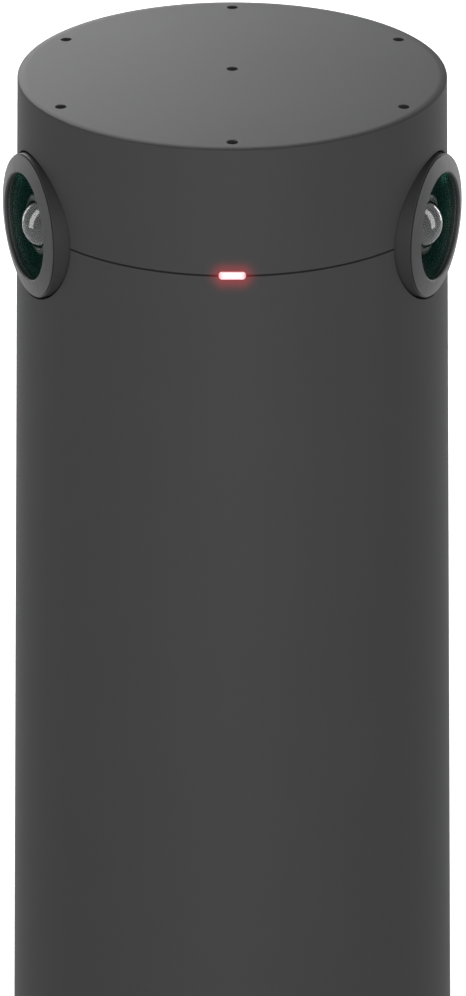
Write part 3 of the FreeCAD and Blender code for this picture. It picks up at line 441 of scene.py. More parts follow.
def cap_profile(radius: float, edge: float, bulge: float, steps: int = 14) -> np.ndarray:
    """Profile of a spherical cap from its edge to its middle.

    Height over the edge = bulge - (R - sqrt(R^2 - r^2)), with R the sphere's
    radius (radius^2 + bulge^2) / (2 bulge).

    Args:
        radius: Radius of the cap's edge.
        edge: Distance of the edge along the axis.
        bulge: Rise of the middle over the edge.
        steps: Rows of the profile, less one.

    Returns:
        Radius and distance per row.
    """
    sphere = (radius**2 + bulge**2) / (2 * bulge)
    across = radius * np.cos(np.linspace(0.0, math.pi / 2, steps + 1))
    return np.stack([across, edge + bulge - (sphere - np.sqrt(sphere**2 - across**2))], axis=1)


# Shader nodes

Colour = Sequence[float] | bpy.types.NodeSocket


def toned(colour: Sequence[float], factor: float) -> tuple[float, ...]:
    """A colour with every channel times a factor, at most 1."""
    return tuple(min(channel * factor, 1.0) for channel in colour)


class Value:
    """A shader number on which Python's operators add Math nodes."""

    def __init__(self, sheet: "Sheet", socket: bpy.types.NodeSocket) -> None:
        """Wraps an output socket of the sheet."""
        self.sheet = sheet
        self.socket = socket

    def _maths(self, operation: str, first: object, second: object) -> "Value":
        """Adds one Math node on two values, sockets or numbers."""
        node = self.sheet.node("ShaderNodeMath", {"operation": operation}, {0: first, 1: second})
        return Value(self.sheet, node.outputs[0])

    def __add__(self, other: object) -> "Value":
        """Sum with a value or number."""
        return self._maths("ADD", self, other)

    def __radd__(self, other: object) -> "Value":
        """Sum with a number on the left."""
        return self._maths("ADD", other, self)

    def __sub__(self, other: object) -> "Value":
        """Difference from a value or number."""
        return self._maths("SUBTRACT", self, other)

    def __rsub__(self, other: object) -> "Value":
        """Number on the left less this value."""
        return self._maths("SUBTRACT", other, self)

    def __mul__(self, other: object) -> "Value":
        """Product with a value or number."""
        return self._maths("MULTIPLY", self, other)

    def __rmul__(self, other: object) -> "Value":
        """Product with a number on the left."""
        return self._maths("MULTIPLY", other, self)

    def __truediv__(self, other: object) -> "Value":
        """Quotient by a value or number."""
        return self._maths("DIVIDE", self, other)

    def __rtruediv__(self, other: object) -> "Value":
        """Number on the left divided by this value."""
        return self._maths("DIVIDE", other, self)

    def __pow__(self, other: object) -> "Value":
        """Power of a value or number."""
        return self._maths("POWER", self, other)

    def __rpow__(self, other: object) -> "Value":
        """Number on the left to the power of this value."""
        return self._maths("POWER", other, self)

    def above(self, limit: float) -> "Value":
        """1 where the value is over the limit, otherwise 0."""
        return self._maths("GREATER_THAN", self, limit)

    def high(self, other: object) -> "Value":
        """The higher of two values."""
        return self._maths("MAXIMUM", self, other)

    def size(self) -> "Value":
        """The value without its sign."""
        return self._maths("ABSOLUTE", self, 0.0)

    def wave(self) -> "Value":
        """Sine of the value in radians."""
        return self._maths("SINE", self, 0.0)


class Sheet:
    """The node tree of one material or of the world."""

    def __init__(self, holder: bpy.types.Material | bpy.types.World, output: str) -> None:
        """Empties the holder's tree and adds its output node."""
        self.holder = holder
        holder.use_nodes = True
        self.tree = holder.node_tree
        self.tree.nodes.clear()
        self.output = self.node(output, {}, {})

    @classmethod
    def material(cls, name: str) -> "Sheet":
        """The tree of a new material."""
        return cls(bpy.data.materials.new(name), "ShaderNodeOutputMaterial")

    def close(self, shader: bpy.types.Node) -> bpy.types.Material | bpy.types.World:
        """Links a shader to the output and returns the holder."""
        self.tree.links.new(shader.outputs[0], self.output.inputs[0])
        return self.holder

    def node(
        self, kind: str, settings: Mapping[str, object], inputs: Mapping[object, object]
    ) -> bpy.types.Node:
        """Adds any node.

        Args:
            kind: Blender's type of the node.
            settings: Properties that are set first.
            inputs: Value or link for each named or numbered socket.

        Returns:
            The new node.
        """
        node = self.tree.nodes.new(kind)
        for name, setting in settings.items():
            setattr(node, name, setting)
        for name, given in inputs.items():
            target = node.inputs[name]
            source = given.socket if isinstance(given, Value) else given
            if isinstance(source, bpy.types.NodeSocket):
                self.tree.links.new(source, target)
            else:
                target.default_value = source
        return node

    def place(self) -> bpy.types.NodeSocket:
        """Object coordinates of the shaded point."""
        return self.node("ShaderNodeTexCoord", {}, {}).outputs["Object"]

    def parts(self) -> tuple[Value, Value, Value]:
        """Object coordinates as three values, in metres."""
        split = self.node("ShaderNodeSeparateXYZ", {}, {0: self.place()})
        return tuple(Value(self, split.outputs[axis]) for axis in range(3))

    def scaled(self, factors: tuple[float, float, float]) -> bpy.types.NodeSocket:
        """Object coordinates stretched along each axis."""
        mapping = self.node("ShaderNodeMapping", {}, {"Vector": self.place(), "Scale": factors})
        return mapping.outputs[0]

    def noise(
        self, per_metre: float, detail: float = 3.0, vector: bpy.types.NodeSocket | None = None
    ) -> Value:
        """Soft noise from 0 to 1 with so many features per metre."""
        inputs = {"Vector": vector or self.place(), "Scale": per_metre, "Detail": detail}
        return Value(self, self.node("ShaderNodeTexNoise", {}, inputs).outputs["Fac"])

    def cells(self, per_metre: float) -> Value:
        """Distance to the middle of the nearest cell, with so many cells per metre."""
        inputs = {"Vector": self.place(), "Scale": per_metre}
        return Value(self, self.node("ShaderNodeTexVoronoi", {}, inputs).outputs["Distance"])

    def mixed(self, share: object, first: Colour, second: Colour) -> bpy.types.NodeSocket:
        """Colour between two colours, by a share from 0 to 1."""
        node = self.node("ShaderNodeMix", {"data_type": "RGBA"}, {0: share})
        for socket, colour in ((node.inputs[6], first), (node.inputs[7], second)):
            if isinstance(colour, bpy.types.NodeSocket):
                self.tree.links.new(colour, socket)
            else:
                socket.default_value = (*colour, 1.0)
        return node.outputs[2]

    def bump(self, height: Value, depth: float, strength: float = 1.0) -> bpy.types.NodeSocket:
        """Normal of a surface with a height from 0 to 1 over a depth in metres."""
        inputs = {"Height": height, "Distance": depth, "Strength": strength}
        return self.node("ShaderNodeBump", {}, inputs).outputs[0]

    def principled(self, inputs: Mapping[str, object]) -> bpy.types.Material:
        """Closes the material with one Principled shader.

        Args:
            inputs: Value or link for each socket of the shader.

        Returns:
            The finished material.
        """
        return self.close(self.node("ShaderNodeBsdfPrincipled", {}, inputs))


# Finishes

class Texture(Enum):
    """Surface texture of a plain finish."""

    FINE = "fine moulded or blasted grain"
    CAST = "coarse grain of a casting"
    BRUSHED = "fine lines along one direction"
    FOAM = "open cells"


@dataclass(frozen=True)
class PlainFinish:
    """One material with a faint change of colour, gloss and relief.

    Attributes:
        name: Name of the material.
        colour: Colour of the surface.
        gloss: Roughness, from 0 to 1.
        metal: 1 for bare metal.
        texture: Kind of relief.
        spread: Change of colour and roughness over the surface, as a share.
        depth: Height of the relief in millimetres.
        level: Strength of the mirror-like reflection, 0.5 being usual.
    """

    name: str
    colour: tuple[float, float, float]
    gloss: float
    metal: float = 0.0
    texture: Texture = Texture.FINE
    spread: float = 0.15
    depth: float = 0.004
    level: float = 0.5

    def build(self) -> bpy.types.Material:
        """Makes the material."""
        sheet = Sheet.material(self.name)
        cloud = sheet.noise(90.0, 4.0)
        grain = self._grain(sheet)
        darker, lighter = toned(self.colour, 1 - self.spread), toned(self.colour, 1 + self.spread)
        slow, fine = (cloud - 0.5) * self.spread * 0.5, (grain - 0.5) * self.spread * 0.4
        inputs = {
            "Base Color": sheet.mixed(cloud * 0.6 + grain * 0.4, darker, lighter),
            "Metallic": self.metal,
            "Roughness": slow + fine + self.gloss,
            "Specular IOR Level": self.level,
            "Normal": sheet.bump(grain, self.depth * MM, 0.6),
        }
        return sheet.principled(inputs)

    def _grain(self, sheet: Sheet) -> Value:
        """Relief of the texture from 0 to 1."""
        if self.texture is Texture.CAST:
            return sheet.noise(1400.0, 5.0)
        if self.texture is Texture.BRUSHED:
            return sheet.noise(160.0, 3.0, sheet.scaled((1.0, 1.0, 40.0)))
        if self.texture is Texture.FOAM:
            return sheet.cells(2600.0)
        return sheet.noise(4200.0, 2.0)


@dataclass(frozen=True)
class GraphitePaint:
    """Matte graphite coat of the two housings, with the status light's red glow painted on as
    emission round the light.

    Attributes:
        colour: Colour of the coat.
        gloss: Roughness of the coat.
        level: Strength of its mirror-like reflection.
        speckle: Features of the sprayed grain per metre.
        speckle_depth: Height of the grain in millimetres.
        glow: Colour of the painted glow of the status light where it is strongest.
        painted_glow_reach: Distance in millimetres over which the painted glow fades.
        light_run: Half of the straight part of the status light.
        light_radius: Radius of the status light's ends.
        light_height: Height of the status light's middle.
        front: Depth towards the front past which the painted glow shows, in millimetres.
    """

    colour: tuple[float, float, float] = (0.040, 0.040, 0.041)
    gloss: float = 0.60
    level: float = 0.06
    speckle: float = 5200.0
    speckle_depth: float = 0.004
    glow: tuple[float, float, float] = (0.20, 0.006, 0.009)
    painted_glow_reach: float = 1.45
    light_run: float = 1.5
    light_radius: float = 0.75
    light_height: float = 254.85
    front: float = 30.0

    def build(self) -> bpy.types.Material:
        """Makes the material: sprayed grain, slow clouding, a soft sheen and the status light's
        glow painted round it.
        """
        sheet = Sheet.material("graphite_paint")
        cloud = sheet.noise(35.0, 3.0)
        grain = sheet.noise(self.speckle, 2.0)
        deep, pale = toned(self.colour, 0.92), toned(self.colour, 1.10)
        inputs = {
            "Base Color": sheet.mixed(grain * 0.5 + cloud * 0.5, deep, pale),
            "Roughness": (cloud - 0.5) * 0.03 + (grain - 0.5) * 0.06 + self.gloss,
            "Specular IOR Level": self.level,
            "Normal": sheet.bump(grain, self.speckle_depth * MM, 0.35),
            # Painted glow: emission that paints the status light's red light onto the coat round
            # it.
            "Emission Color": sheet.mixed(self._painted_glow_share(sheet), (0.0, 0.0, 0.0), self.glow),
            "Emission Strength": 1.0,
        }
        return sheet.principled(inputs)

    def _painted_glow_share(self, sheet: Sheet) -> Value:
        """Share of the painted glow at a distance d from the status light: e^-(d / reach)^2, in
        front.
        """
        across, deep, up = sheet.parts()
        beyond = (across.size() - self.light_run * MM).high(0.0)
        rise = up - self.light_height * MM
        distance = ((beyond ** 2.0 + rise ** 2.0) ** 0.5 - self.light_radius * MM).high(0.0)
        fade = math.exp(-1.0) ** ((distance / (self.painted_glow_reach * MM)) ** 2.0)
        return fade * (-1.0 * deep).above(self.front * MM)


@dataclass(frozen=True)
class SatinRing:
    """Dark anodised front ring with faint turning lines.

    Attributes:
        colour: Colour of the anodised metal.
        gloss: Roughness of the ring.
        level: Strength of its mirror-like reflection.
        line_depth: Height of the turning lines in millimetres.
    """

    colour: tuple[float, float, float] = (0.020, 0.020, 0.021)
    gloss: float = 0.50
    level: float = 0.25
    line_depth: float = 0.002

    def build(self) -> bpy.types.Material:
        """Makes the material."""
        sheet = Sheet.material("dark_anodised_ring")
        cloud = sheet.noise(300.0, 3.0)
        lines = sheet.noise(900.0, 2.0, sheet.scaled((1.0, 1.0, 0.15)))
        deep, pale = toned(self.colour, 0.85), toned(self.colour, 1.25)
        inputs = {
            "Base Color": sheet.mixed(cloud, deep, pale),
            "Roughness": (lines - 0.5) * 0.10 + self.gloss,
            "Specular IOR Level": self.level,
            "Normal": sheet.bump(lines, self.line_depth * MM, 0.4),
        }
        return sheet.principled(inputs)


@dataclass(frozen=True)
class CoatedGlass:
    """Clear cover glass whose coating throws faint, soft green reflections.

    Attributes:
        name: Name of the material.
        tint: Colour of the coating's reflection, seen straight on.
        rim: Colour of the reflection at a low angle.
        share: Share of the coating over what is seen through the glass.
        gloss: Roughness of the surface.
    """

    name: str
    tint: tuple[float, float, float]
    rim: tuple[float, float, float]
    share: float = 0.10
    gloss: float = 0.10

    def build(self) -> bpy.types.Material:
        """Makes the material: a clear sheet under a thin mirror coat with traces of dust."""
        sheet = Sheet.material(self.name)
        dust = sheet.noise(500.0, 2.0)
        inputs = {
            "Base Color": sheet.mixed(dust, self.tint, toned(self.tint, 0.8)),
            "Metallic": 1.0,
            "Roughness": dust * 0.03 + self.gloss,
            "Specular Tint": (*self.rim, 1.0),
            "Alpha": (dust - 0.5) * 0.01 + self.share,
        }
        return sheet.principled(inputs)


@dataclass(frozen=True)
class MirrorGlass:
    """Dark convex element that mirrors its surroundings in a tint.

    Attributes:
        name: Name of the material.
        tint: Colour of the reflections.
        deep: Colour seen through the element.
        gloss: Roughness of the surface.
        strength: Level of the mirror reflection.
        ior: Refractive index of the glass.
    """

    name: str
    tint: tuple[float, float, float]
    deep: tuple[float, float, float]
    gloss: float
    strength: float
    ior: float = 1.6

    def build(self) -> bpy.types.Material:
        """Makes the material."""
        sheet = Sheet.material(self.name)
        haze = sheet.noise(800.0, 2.0)
        inputs = {
            "Base Color": sheet.mixed(haze, self.deep, toned(self.deep, 1.3)),
            "Roughness": haze * 0.03 + self.gloss,
            "IOR": self.ior,
            "Specular IOR Level": self.strength,
            "Specular Tint": (*self.tint, 1.0),
        }
        return sheet.principled(inputs)


@dataclass(frozen=True)
class LitDiffuser:
    """Milky light pipe, lit red with a paler middle.

    Attributes:
        edge: Colour of the light at its ends.
        middle: Colour of the light at its middle.
        strength: Strength of the light.
        half_length: Half of the lit window's length in millimetres.
        half_height: Half of the lit window's height in millimetres.
        height: Height of the window's middle in millimetres.
    """

    edge: tuple[float, float, float] = (0.72, 0.17, 0.20)
    middle: tuple[float, float, float] = (1.0, 0.86, 0.90)
    strength: float = 1.0
    half_length: float = 2.45
    half_height: float = 0.74
    height: float = 254.85

    def build(self) -> bpy.types.Material:
        """Makes the material: light falls off towards the window's rim."""
        sheet = Sheet.material("lit_diffuser")
        across, _, up = sheet.parts()
        along = (across / (self.half_length * MM)).size()
        rise = ((up - self.height * MM) / (self.half_height * MM)).size()
        rim = along.high(rise)
        milk = sheet.noise(900.0, 2.0)
        glow = (1.0 - rim ** 6.0).high(0.0)
        inputs = {
            "Base Color": sheet.mixed(milk, (0.10, 0.04, 0.04), (0.14, 0.06, 0.06)),
            "Roughness": milk * 0.1 + 0.35,
            "Emission Color": sheet.mixed(glow, self.edge, self.middle),
            "Emission Strength": self.strength,
        }
        return sheet.principled(inputs)


@dataclass(frozen=True)
class CircuitBoard:
    """Solder mask with tracks and tinned pads.

    Attributes:
        name: Name of the material.
        mask: Colour of the solder mask.
        pad: Colour of a tinned pad.
        pitch: Distance of the tracks in millimetres.
        track_depth: Height of the tracks in millimetres.
    """

    name: str = "circuit_board"
    mask: tuple[float, float, float] = (0.012, 0.075, 0.035)
    pad: tuple[float, float, float] = (0.62, 0.60, 0.55)
    pitch: float = 1.6
    track_depth: float = 0.03

    def build(self) -> bpy.types.Material:
        """Makes the material: paler lines are tracks, bright dots are pads."""
        sheet = Sheet.material(self.name)
        across, deep, up = sheet.parts()
        turn = 2 * math.pi / (self.pitch * MM)
        wander = sheet.noise(120.0, 1.0) * 3.0
        tracks = ((across * turn + up * turn * 0.5 + deep * turn * 0.5 + wander).wave()).above(0.55)
        pads = 1.0 - sheet.cells(420.0).above(0.22)
        masked = sheet.mixed(tracks, self.mask, toned(self.mask, 1.9))
        inputs = {
            "Base Color": sheet.mixed(pads, masked, self.pad),
            "Metallic": pads * 0.9,
            "Roughness": 0.42 - pads * 0.12,
            "Normal": sheet.bump(tracks * 0.6 + pads * 0.4, self.track_depth * MM, 0.6),
        }
        return sheet.principled(inputs)


class Finishes:
    """Every material of the object, made once."""

    def __init__(self) -> None:
        """Makes all materials."""
        self.graphite = GraphitePaint().build()
        self.ring = SatinRing().build()
        self.front_glass = CoatedGlass(
            "front_glass", tint=(0.010, 0.028, 0.021), rim=(0.45, 0.52, 0.50)
        ).build()
        self.inner_glass = MirrorGlass(
            "inner_glass", (1.0, 0.97, 0.98), (0.012, 0.014, 0.014), gloss=0.10, strength=0.9
        ).build()
        self.sensor = MirrorGlass(
            "sensor_glass", (0.8, 0.7, 1.0), (0.03, 0.02, 0.05), gloss=0.08, strength=0.8
        ).build()
        self.diffuser = LitDiffuser().build()
        self.board = CircuitBoard().build()
        plain = self._plain
        self.flank = plain("ring_flank", (0.022, 0.022, 0.0225), 0.48, level=0.12)
        self.barrel = plain("barrel_black", (0.002, 0.006, 0.005), 0.75, level=0.02)
        self.retainer = plain("retainer_black", (0.005, 0.006, 0.006), 0.36, level=0.12)
        # Near-black painted shade for the walls and floors of the microphone ports and for the
        # tongue behind the seam, where shade falls.
        self.painted_recess_shade = plain("painted_recess_shade", (0.004, 0.004, 0.004), 0.85)
        self.polymer = plain("black_polymer", (0.020, 0.020, 0.021), 0.48)
        self.port_plastic = plain("port_plastic", (0.030, 0.030, 0.031), 0.58, level=0.3)
        self.jack_plastic = plain("jack_plastic", (0.012, 0.012, 0.013), 0.40, level=0.4)
        self.button = plain("button_plastic", (0.060, 0.060, 0.062), 0.42)
        self.chip = plain("chip_package", (0.022, 0.022, 0.024), 0.55)
        self.silicone = plain("thermal_silicone", (0.30, 0.36, 0.46), 0.7)
        self.led = plain("led_package", (0.85, 0.72, 0.55), 0.35)
        self.gold = plain("gold_contact", (0.83, 0.58, 0.20), 0.25, metal=1.0)
        brushed = {"metal": 1.0, "texture": Texture.BRUSHED}
        self.tin = plain("tin_plate", (0.62, 0.61, 0.58), 0.30, **brushed)
        self.plated = plain("plated_steel", (0.55, 0.55, 0.56), 0.28, **brushed)
        self.lock_steel = plain("lock_steel", (0.34, 0.34, 0.35), 0.38, **brushed)
        self.brass = plain("turned_brass", (0.66, 0.47, 0.20), 0.32, **brushed)
        self.sink = plain(
            "anodised_fins", (0.035, 0.035, 0.038), 0.42, metal=0.6, texture=Texture.BRUSHED
        )
        casting = {"metal": 1.0, "texture": Texture.CAST, "spread": 0.2, "depth": 0.03}
        self.casting = plain("die_casting", (0.50, 0.50, 0.51), 0.46, **casting)
        iron = {"metal": 1.0, "texture": Texture.CAST, "spread": 0.3, "depth": 0.08}
        self.iron = plain("ballast_iron", (0.16, 0.155, 0.15), 0.62, **iron)
        rubber = {"texture": Texture.CAST, "spread": 0.25, "depth": 0.02}
        self.rubber = plain("foot_rubber", (0.018, 0.018, 0.018), 0.78, **rubber)
        foam = {"texture": Texture.FOAM, "spread": 0.4, "depth": 0.15}
        self.foam = plain("acoustic_foam", (0.03, 0.03, 0.03), 0.95, **foam)

    @staticmethod
    def _plain(
        name: str, colour: tuple[float, float, float], gloss: float, **details: object
    ) -> bpy.types.Material:
        """Makes one plain finish, with any of its other fields by name."""
        return PlainFinish(name, colour, gloss, **details).build()


# Column: cap and main housing

@dataclass
class Opening:
    """A round-ended opening that the seam runs through.

    Attributes:
        azimuth: Direction of the opening.
        half_run: Half of the straight part between its round ends.
        radius: Radius of its ends, also half of its height.
        depth: Depth of its wall.
        steps: Points on each quarter turn.
    """

    azimuth: float
    half_run: float
    radius: float
    depth: float
    steps: int


@dataclass
class Edge:
    """Edge of a housing at the seam, one entry per column of its grid.

    Attributes:
        azimuth: Azimuth of the edge.
        height: Height of the edge over the seam, without its sign.
        away: Unit direction on the wall away from the gap, as (sideways, upwards).
        inward: Unit vector into the column, as (x, y).
        depth: Depth of the edge's wall.
    """

    azimuth: np.ndarray
    height: np.ndarray
    away: np.ndarray
    inward: np.ndarray
    depth: np.ndarray


@dataclass
class Column:
    """The tapered column: crowned cap above the seam, main housing below it.

    Attributes:
        finishes: Materials of the object.
        rim_radius: Radius at the top rim.
        crown: Rise of the top's middle over the rim.
        draft: Taper of the side.
        seam_drop: Seam below the rim.
        gap: Open line between the housings.
        level_step: Angle between two columns where the seam is level.
        rim_edge: Radius of the top's edge.
        rim_overlap: Way over which the edge's curve runs onto the crown.
        break_edge: Size of the small edge breaks.
        lens_azimuth: Azimuth of each lens, to both sides.
        lens_bore: Radius of the bore round each lens.
        lens_wall: Depth of that bore's wall.
        slot_run: Half of the straight part of the light's slot.
        slot_radius: Radius of the slot's ends.
        slot_wall: Depth of the slot's wall.
        cavity: Radius inside both housings.
        skin: Thickness of the top at the rim.
        foot_bore: Radius of the wide lower bore.
        foot_bore_top: Height at which that bore ends.
        foot_round: Radius of the outer edge at the foot.
        foot_shoulder: Height over the foot at which its edge begins.
        calm: Wall below the lens bores from which its rows are level.
        tongue_inner: Inner face of the seam's tongue, outside the cavity.
        tongue_outer: Outer face of the tongue, outside the cavity.
        tongue_up: Tongue above the seam.
        tongue_down: Tongue below the seam.
        tongue_room: Room between the tongue and a lens bore.
        tongue_front: Azimuth at which the tongue ends beside the status light.
        window_width: Width of the rear window.
        window_height: Height of the rear window.
        window_corner: Radius of the window's corners.
        window_middle: Height of the window's middle.
        window_azimuth: Half of the angle that the window's patch takes up.
        window_margin: Wall above and below the window in that patch.
        port_ring: Radius of the ring of microphone ports.
        port_radius: Radius of one port.
        port_depth: Depth of one port.
        port_lip: Drop of the middle port's lip.
        port_square: Half width of the grid's square round a port, in port radii.
        port_count: Ports on the ring.
    """

    finishes: Finishes
    rim_radius: float = 40.0
    crown: float = 0.9
    draft: float = 1.09
    seam_drop: float = 24.25
    gap: float = 0.3
    level_step: float = 0.9
    rim_edge: float = 0.30
    rim_overlap: float = 0.02
    break_edge: float = 0.14
    lens_azimuth: float = 67.5
    lens_bore: float = 13.9
    lens_wall: float = 5.2
    slot_run: float = 1.75
    slot_radius: float = 0.82
    slot_wall: float = 3.0
    cavity: float = 38.2
    skin: float = 1.6
    foot_bore: float = 41.49
    foot_bore_top: float = 80.0
    foot_round: float = 0.5
    foot_shoulder: float = 0.8
    calm: float = 4.0
    tongue_inner: float = 0.05
    tongue_outer: float = 1.0
    tongue_up: float = 2.0
    tongue_down: float = 3.0
    tongue_room: float = 1.5
    tongue_front: float = 4.0
    window_width: float = 44.0
    window_height: float = 23.0
    window_corner: float = 3.0
    window_middle: float = 34.0
    window_azimuth: float = 38.0
    window_margin: float = 3.5
    port_ring: float = 36.28
    port_radius: float = 1.02
    port_depth: float = 1.4
    port_lip: float = 0.08
    port_square: float = 1.45
    port_count: int = 6
    top: float = field(init=False)
    rim_height: float = field(init=False)
    seam: float = field(init=False)
    foot: float = field(init=False)

    def __post_init__(self) -> None:
        """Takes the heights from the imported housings."""
        self.top = float(span("top_housing")[1, 2])
        self.rim_height = self.top - self.crown
        self.seam = self.rim_height - self.seam_drop
        self.foot = float(span("main_housing")[0, 2])

    def radius(self, height: np.ndarray | float) -> np.ndarray | float:
        """Outside radius at a height: rim radius + tan(draft) (rim height - height)."""
        return self.rim_radius + math.tan(math.radians(self.draft)) * (self.rim_height - height)

    def crown_height(self, radius: np.ndarray | float) -> np.ndarray | float:
        """Height of the top at a radius: a sphere that rises by the crown over the rim radius."""
        sphere = (self.rim_radius**2 + self.crown**2) / (2 * self.crown)
        return self.top - (sphere - np.sqrt(sphere**2 - radius**2))

    def openings(self) -> list[Opening]:
        """Openings on the seam in order of azimuth: left lens, status light, right lens."""
        left, right = (
            Opening(azimuth, 0.0, self.lens_bore, self.lens_wall, steps=44)
            for azimuth in (-self.lens_azimuth, self.lens_azimuth)
        )
        light = Opening(0.0, self.slot_run, self.slot_radius, self.slot_wall, steps=10)
        return [left, light, right]

    def edge(self, upper: bool) -> Edge:
        """Edge of the cap or of the main housing, from the back round to the back.

        Along an opening the edge is the round-ended outline y = R cos t,
        z = R sin t, shifted sideways by the straight half run; between openings
        it is level.

        Args:
            upper: True for the cap's edge.

        Returns:
            The edge of a full turn.
        """
        half_gap = self.gap / 2
        sign = 1.0 if upper else -1.0
        back = FULL_TURN / 2
        pieces: list[tuple[np.ndarray, ...]] = []
        start = -back
        for opening in self.openings():
            arc = self._arc(opening, half_gap, sign)
            level = self._level(start, float(arc[0][0]), half_gap)
            inner = slice(1 if pieces else 0, -1)
            pieces += [tuple(line[inner] for line in level), arc]
            start = float(arc[0][-1])
        pieces.append(tuple(line[1:] for line in self._level(start, back, half_gap)))
        return Edge(*(np.concatenate(column) for column in zip(*pieces)))

    def _arc(self, opening: Opening, half_gap: float, sign: float) -> tuple[np.ndarray, ...]:
        """The edge round one opening, whose two end columns are mitred with the level edge."""
        first = math.asin(half_gap / opening.radius)
        left = np.linspace(math.pi - first, math.pi / 2, opening.steps)
        right = np.linspace(math.pi / 2, first, opening.steps)
        angle = np.concatenate([left, right])
        run = np.where(np.arange(angle.size) < opening.steps, -opening.half_run, opening.half_run)
        sideways = run + opening.radius * np.cos(angle)
        height = opening.radius * np.sin(angle)
        radius = self.radius(self.seam + sign * height)
        azimuth = opening.azimuth + np.degrees(np.arcsin(sideways / radius))
        away = np.stack([np.cos(angle), np.sin(angle)], axis=1)
        mitre = (1 - math.sin(first)) / math.cos(first)
        away[0], away[-1] = (-mitre, 1.0), (mitre, 1.0)
        turn = math.radians(opening.azimuth)
        inward = np.tile([-math.sin(turn), math.cos(turn)], (angle.size, 1))
        return azimuth, height, away, inward, np.full(angle.size, opening.depth)

    def _level(self, start: float, finish: float, height: float) -> tuple[np.ndarray, ...]:
        """A level stretch of edge between two azimuths, in at least four equal steps."""
        count = max(int(abs(finish - start) / self.level_step), 4)
        azimuth = np.linspace(start, finish, count + 1)
        turn = np.radians(azimuth)
        away = np.tile([0.0, 1.0], (count + 1, 1))
        inward = np.stack([-np.sin(turn), np.cos(turn)], axis=1)
        depth = np.full(count + 1, self.radius(self.seam) - self.cavity)
        return azimuth, np.full(count + 1, height), away, inward, depth

    def edge_rows(self, edge: Edge, upper: bool) -> tuple[np.ndarray, np.ndarray, np.ndarray]:
        """Rows that round the edge from inside the gap out onto the wall.

        With E the edge, D the way in and T the way along the wall, the rows are
        E + depth D, E + b D, E + 0.3 b (D + T) and E + b T for the break b.

        Args:
            edge: Edge of a housing.
            upper: True for the cap's edge.

        Returns:
            The rows, and the azimuth and height at which the wall begins.
        """
        sign = 1.0 if upper else -1.0
        height = self.seam + sign * edge.height
        turn = np.radians(edge.azimuth)
        radius = self.radius(height)
        corner = placed(radius, edge.azimuth, height)
        into = np.concatenate([edge.inward, np.zeros((len(turn), 1))], axis=1)
        sideways = np.stack([np.cos(turn), np.sin(turn), np.zeros(len(turn))], axis=1)
        along = sideways * edge.away[:, :1] + np.array([0.0, 0.0, sign]) * edge.away[:, 1:]
        small = self.break_edge
        inmost = corner + into * edge.depth[:, None]
        rows = np.stack([inmost, corner + into * small, corner + (into + along) * small * 0.3])
        wall_azimuth = edge.azimuth + np.degrees(edge.away[:, 0] * small / radius)
        wall_height = height + sign * edge.away[:, 1] * small
        return rows, wall_azimuth, wall_height

    def side_rows(
        self, azimuth: np.ndarray, start: np.ndarray, finish: np.ndarray, steps: int
    ) -> np.ndarray:
        """Rows of the tapered side between two heights per column.

        Args:
            azimuth: Azimuth of each column.
            start: Height at which each column begins.
            finish: Height at which each column ends.
            steps: Rows, less one.

        Returns:
            Rows by columns by 3 array of points.
        """
        share = np.linspace(0.0, 1.0, steps + 1)[:, None]
        height = start[None, :] * (1 - share) + finish[None, :] * share
        return placed(self.radius(height), azimuth[None, :], height)

    def make_cap(self) -> bpy.types.Object:
        """Cap with its side, rounded rim and the tongue that shows in the seam."""
        edge = self.edge(upper=True)
        rows, azimuth, height = self.edge_rows(edge, upper=True)
        rim = self.rim_height - self.rim_edge
        side = self.side_rows(azimuth, height, np.full(azimuth.size, rim), 12)
        turn = np.linspace(0.0, math.pi / 2, 7)[1:]
        centre = self.rim_radius - self.rim_edge
        arc = [centre + self.rim_edge * np.cos(turn), rim + self.rim_edge * np.sin(turn)]
        last = [[centre - self.rim_overlap, self.crown_height(centre)]]
        fillet = np.concatenate([np.stack(arc, axis=1), last])
        ceiling = self.rim_height - self.skin
        inside = turned(np.array([[0.0, ceiling], [self.cavity, ceiling]]), azimuth)
        wall = np.concatenate([inside, rows, side, turned(fillet, azimuth)])
        crown, crown_azimuth = self.crown_grid(), self.crown_lines()[1]
        join = zipped(wall[-1], azimuth, crown[0], crown_azimuth)
        piece = make_piece(
            "cap",
            [Patch(wall), Patch(join), Patch(crown, self._port_slots()), *self.tongue()],
            # Slot 1 paints shade into the ports and onto the tongue behind the seam.
            [self.finishes.graphite, self.finishes.painted_recess_shade],
            replaces=["top_housing"],
        )
        smooth_side(piece, self.radius, self.draft)
        return piece

    def tongue(self) -> list[Patch]:
        """Locating tongue behind the seam, in closed stretches between the openings, in the
        near-black painted shade finish.
        """
        inner, outer = self.cavity + self.tongue_inner, self.cavity + self.tongue_outer
        top, bottom = self.seam + self.tongue_up, self.seam - self.tongue_down
        corners = [(inner, bottom), (outer, bottom), (outer, top), (inner, top)]
        ring = np.array(corners + corners[:1])
        opening = math.degrees(math.asin((self.lens_bore + self.tongue_room) / outer))
        front, back = (self.tongue_front, self.lens_azimuth - opening), self.lens_azimuth + opening
        stretches = [(-front[1], -front[0]), front, (back, FULL_TURN - back)]
        patches = []
        for start, finish in stretches:
            body = turned(ring, np.linspace(start, finish, 60))
            # Slot 1: near-black painted shade behind the seam.
            patches.append(Patch(capped(body.swapaxes(0, 1)).swapaxes(0, 1), 1))
        return patches

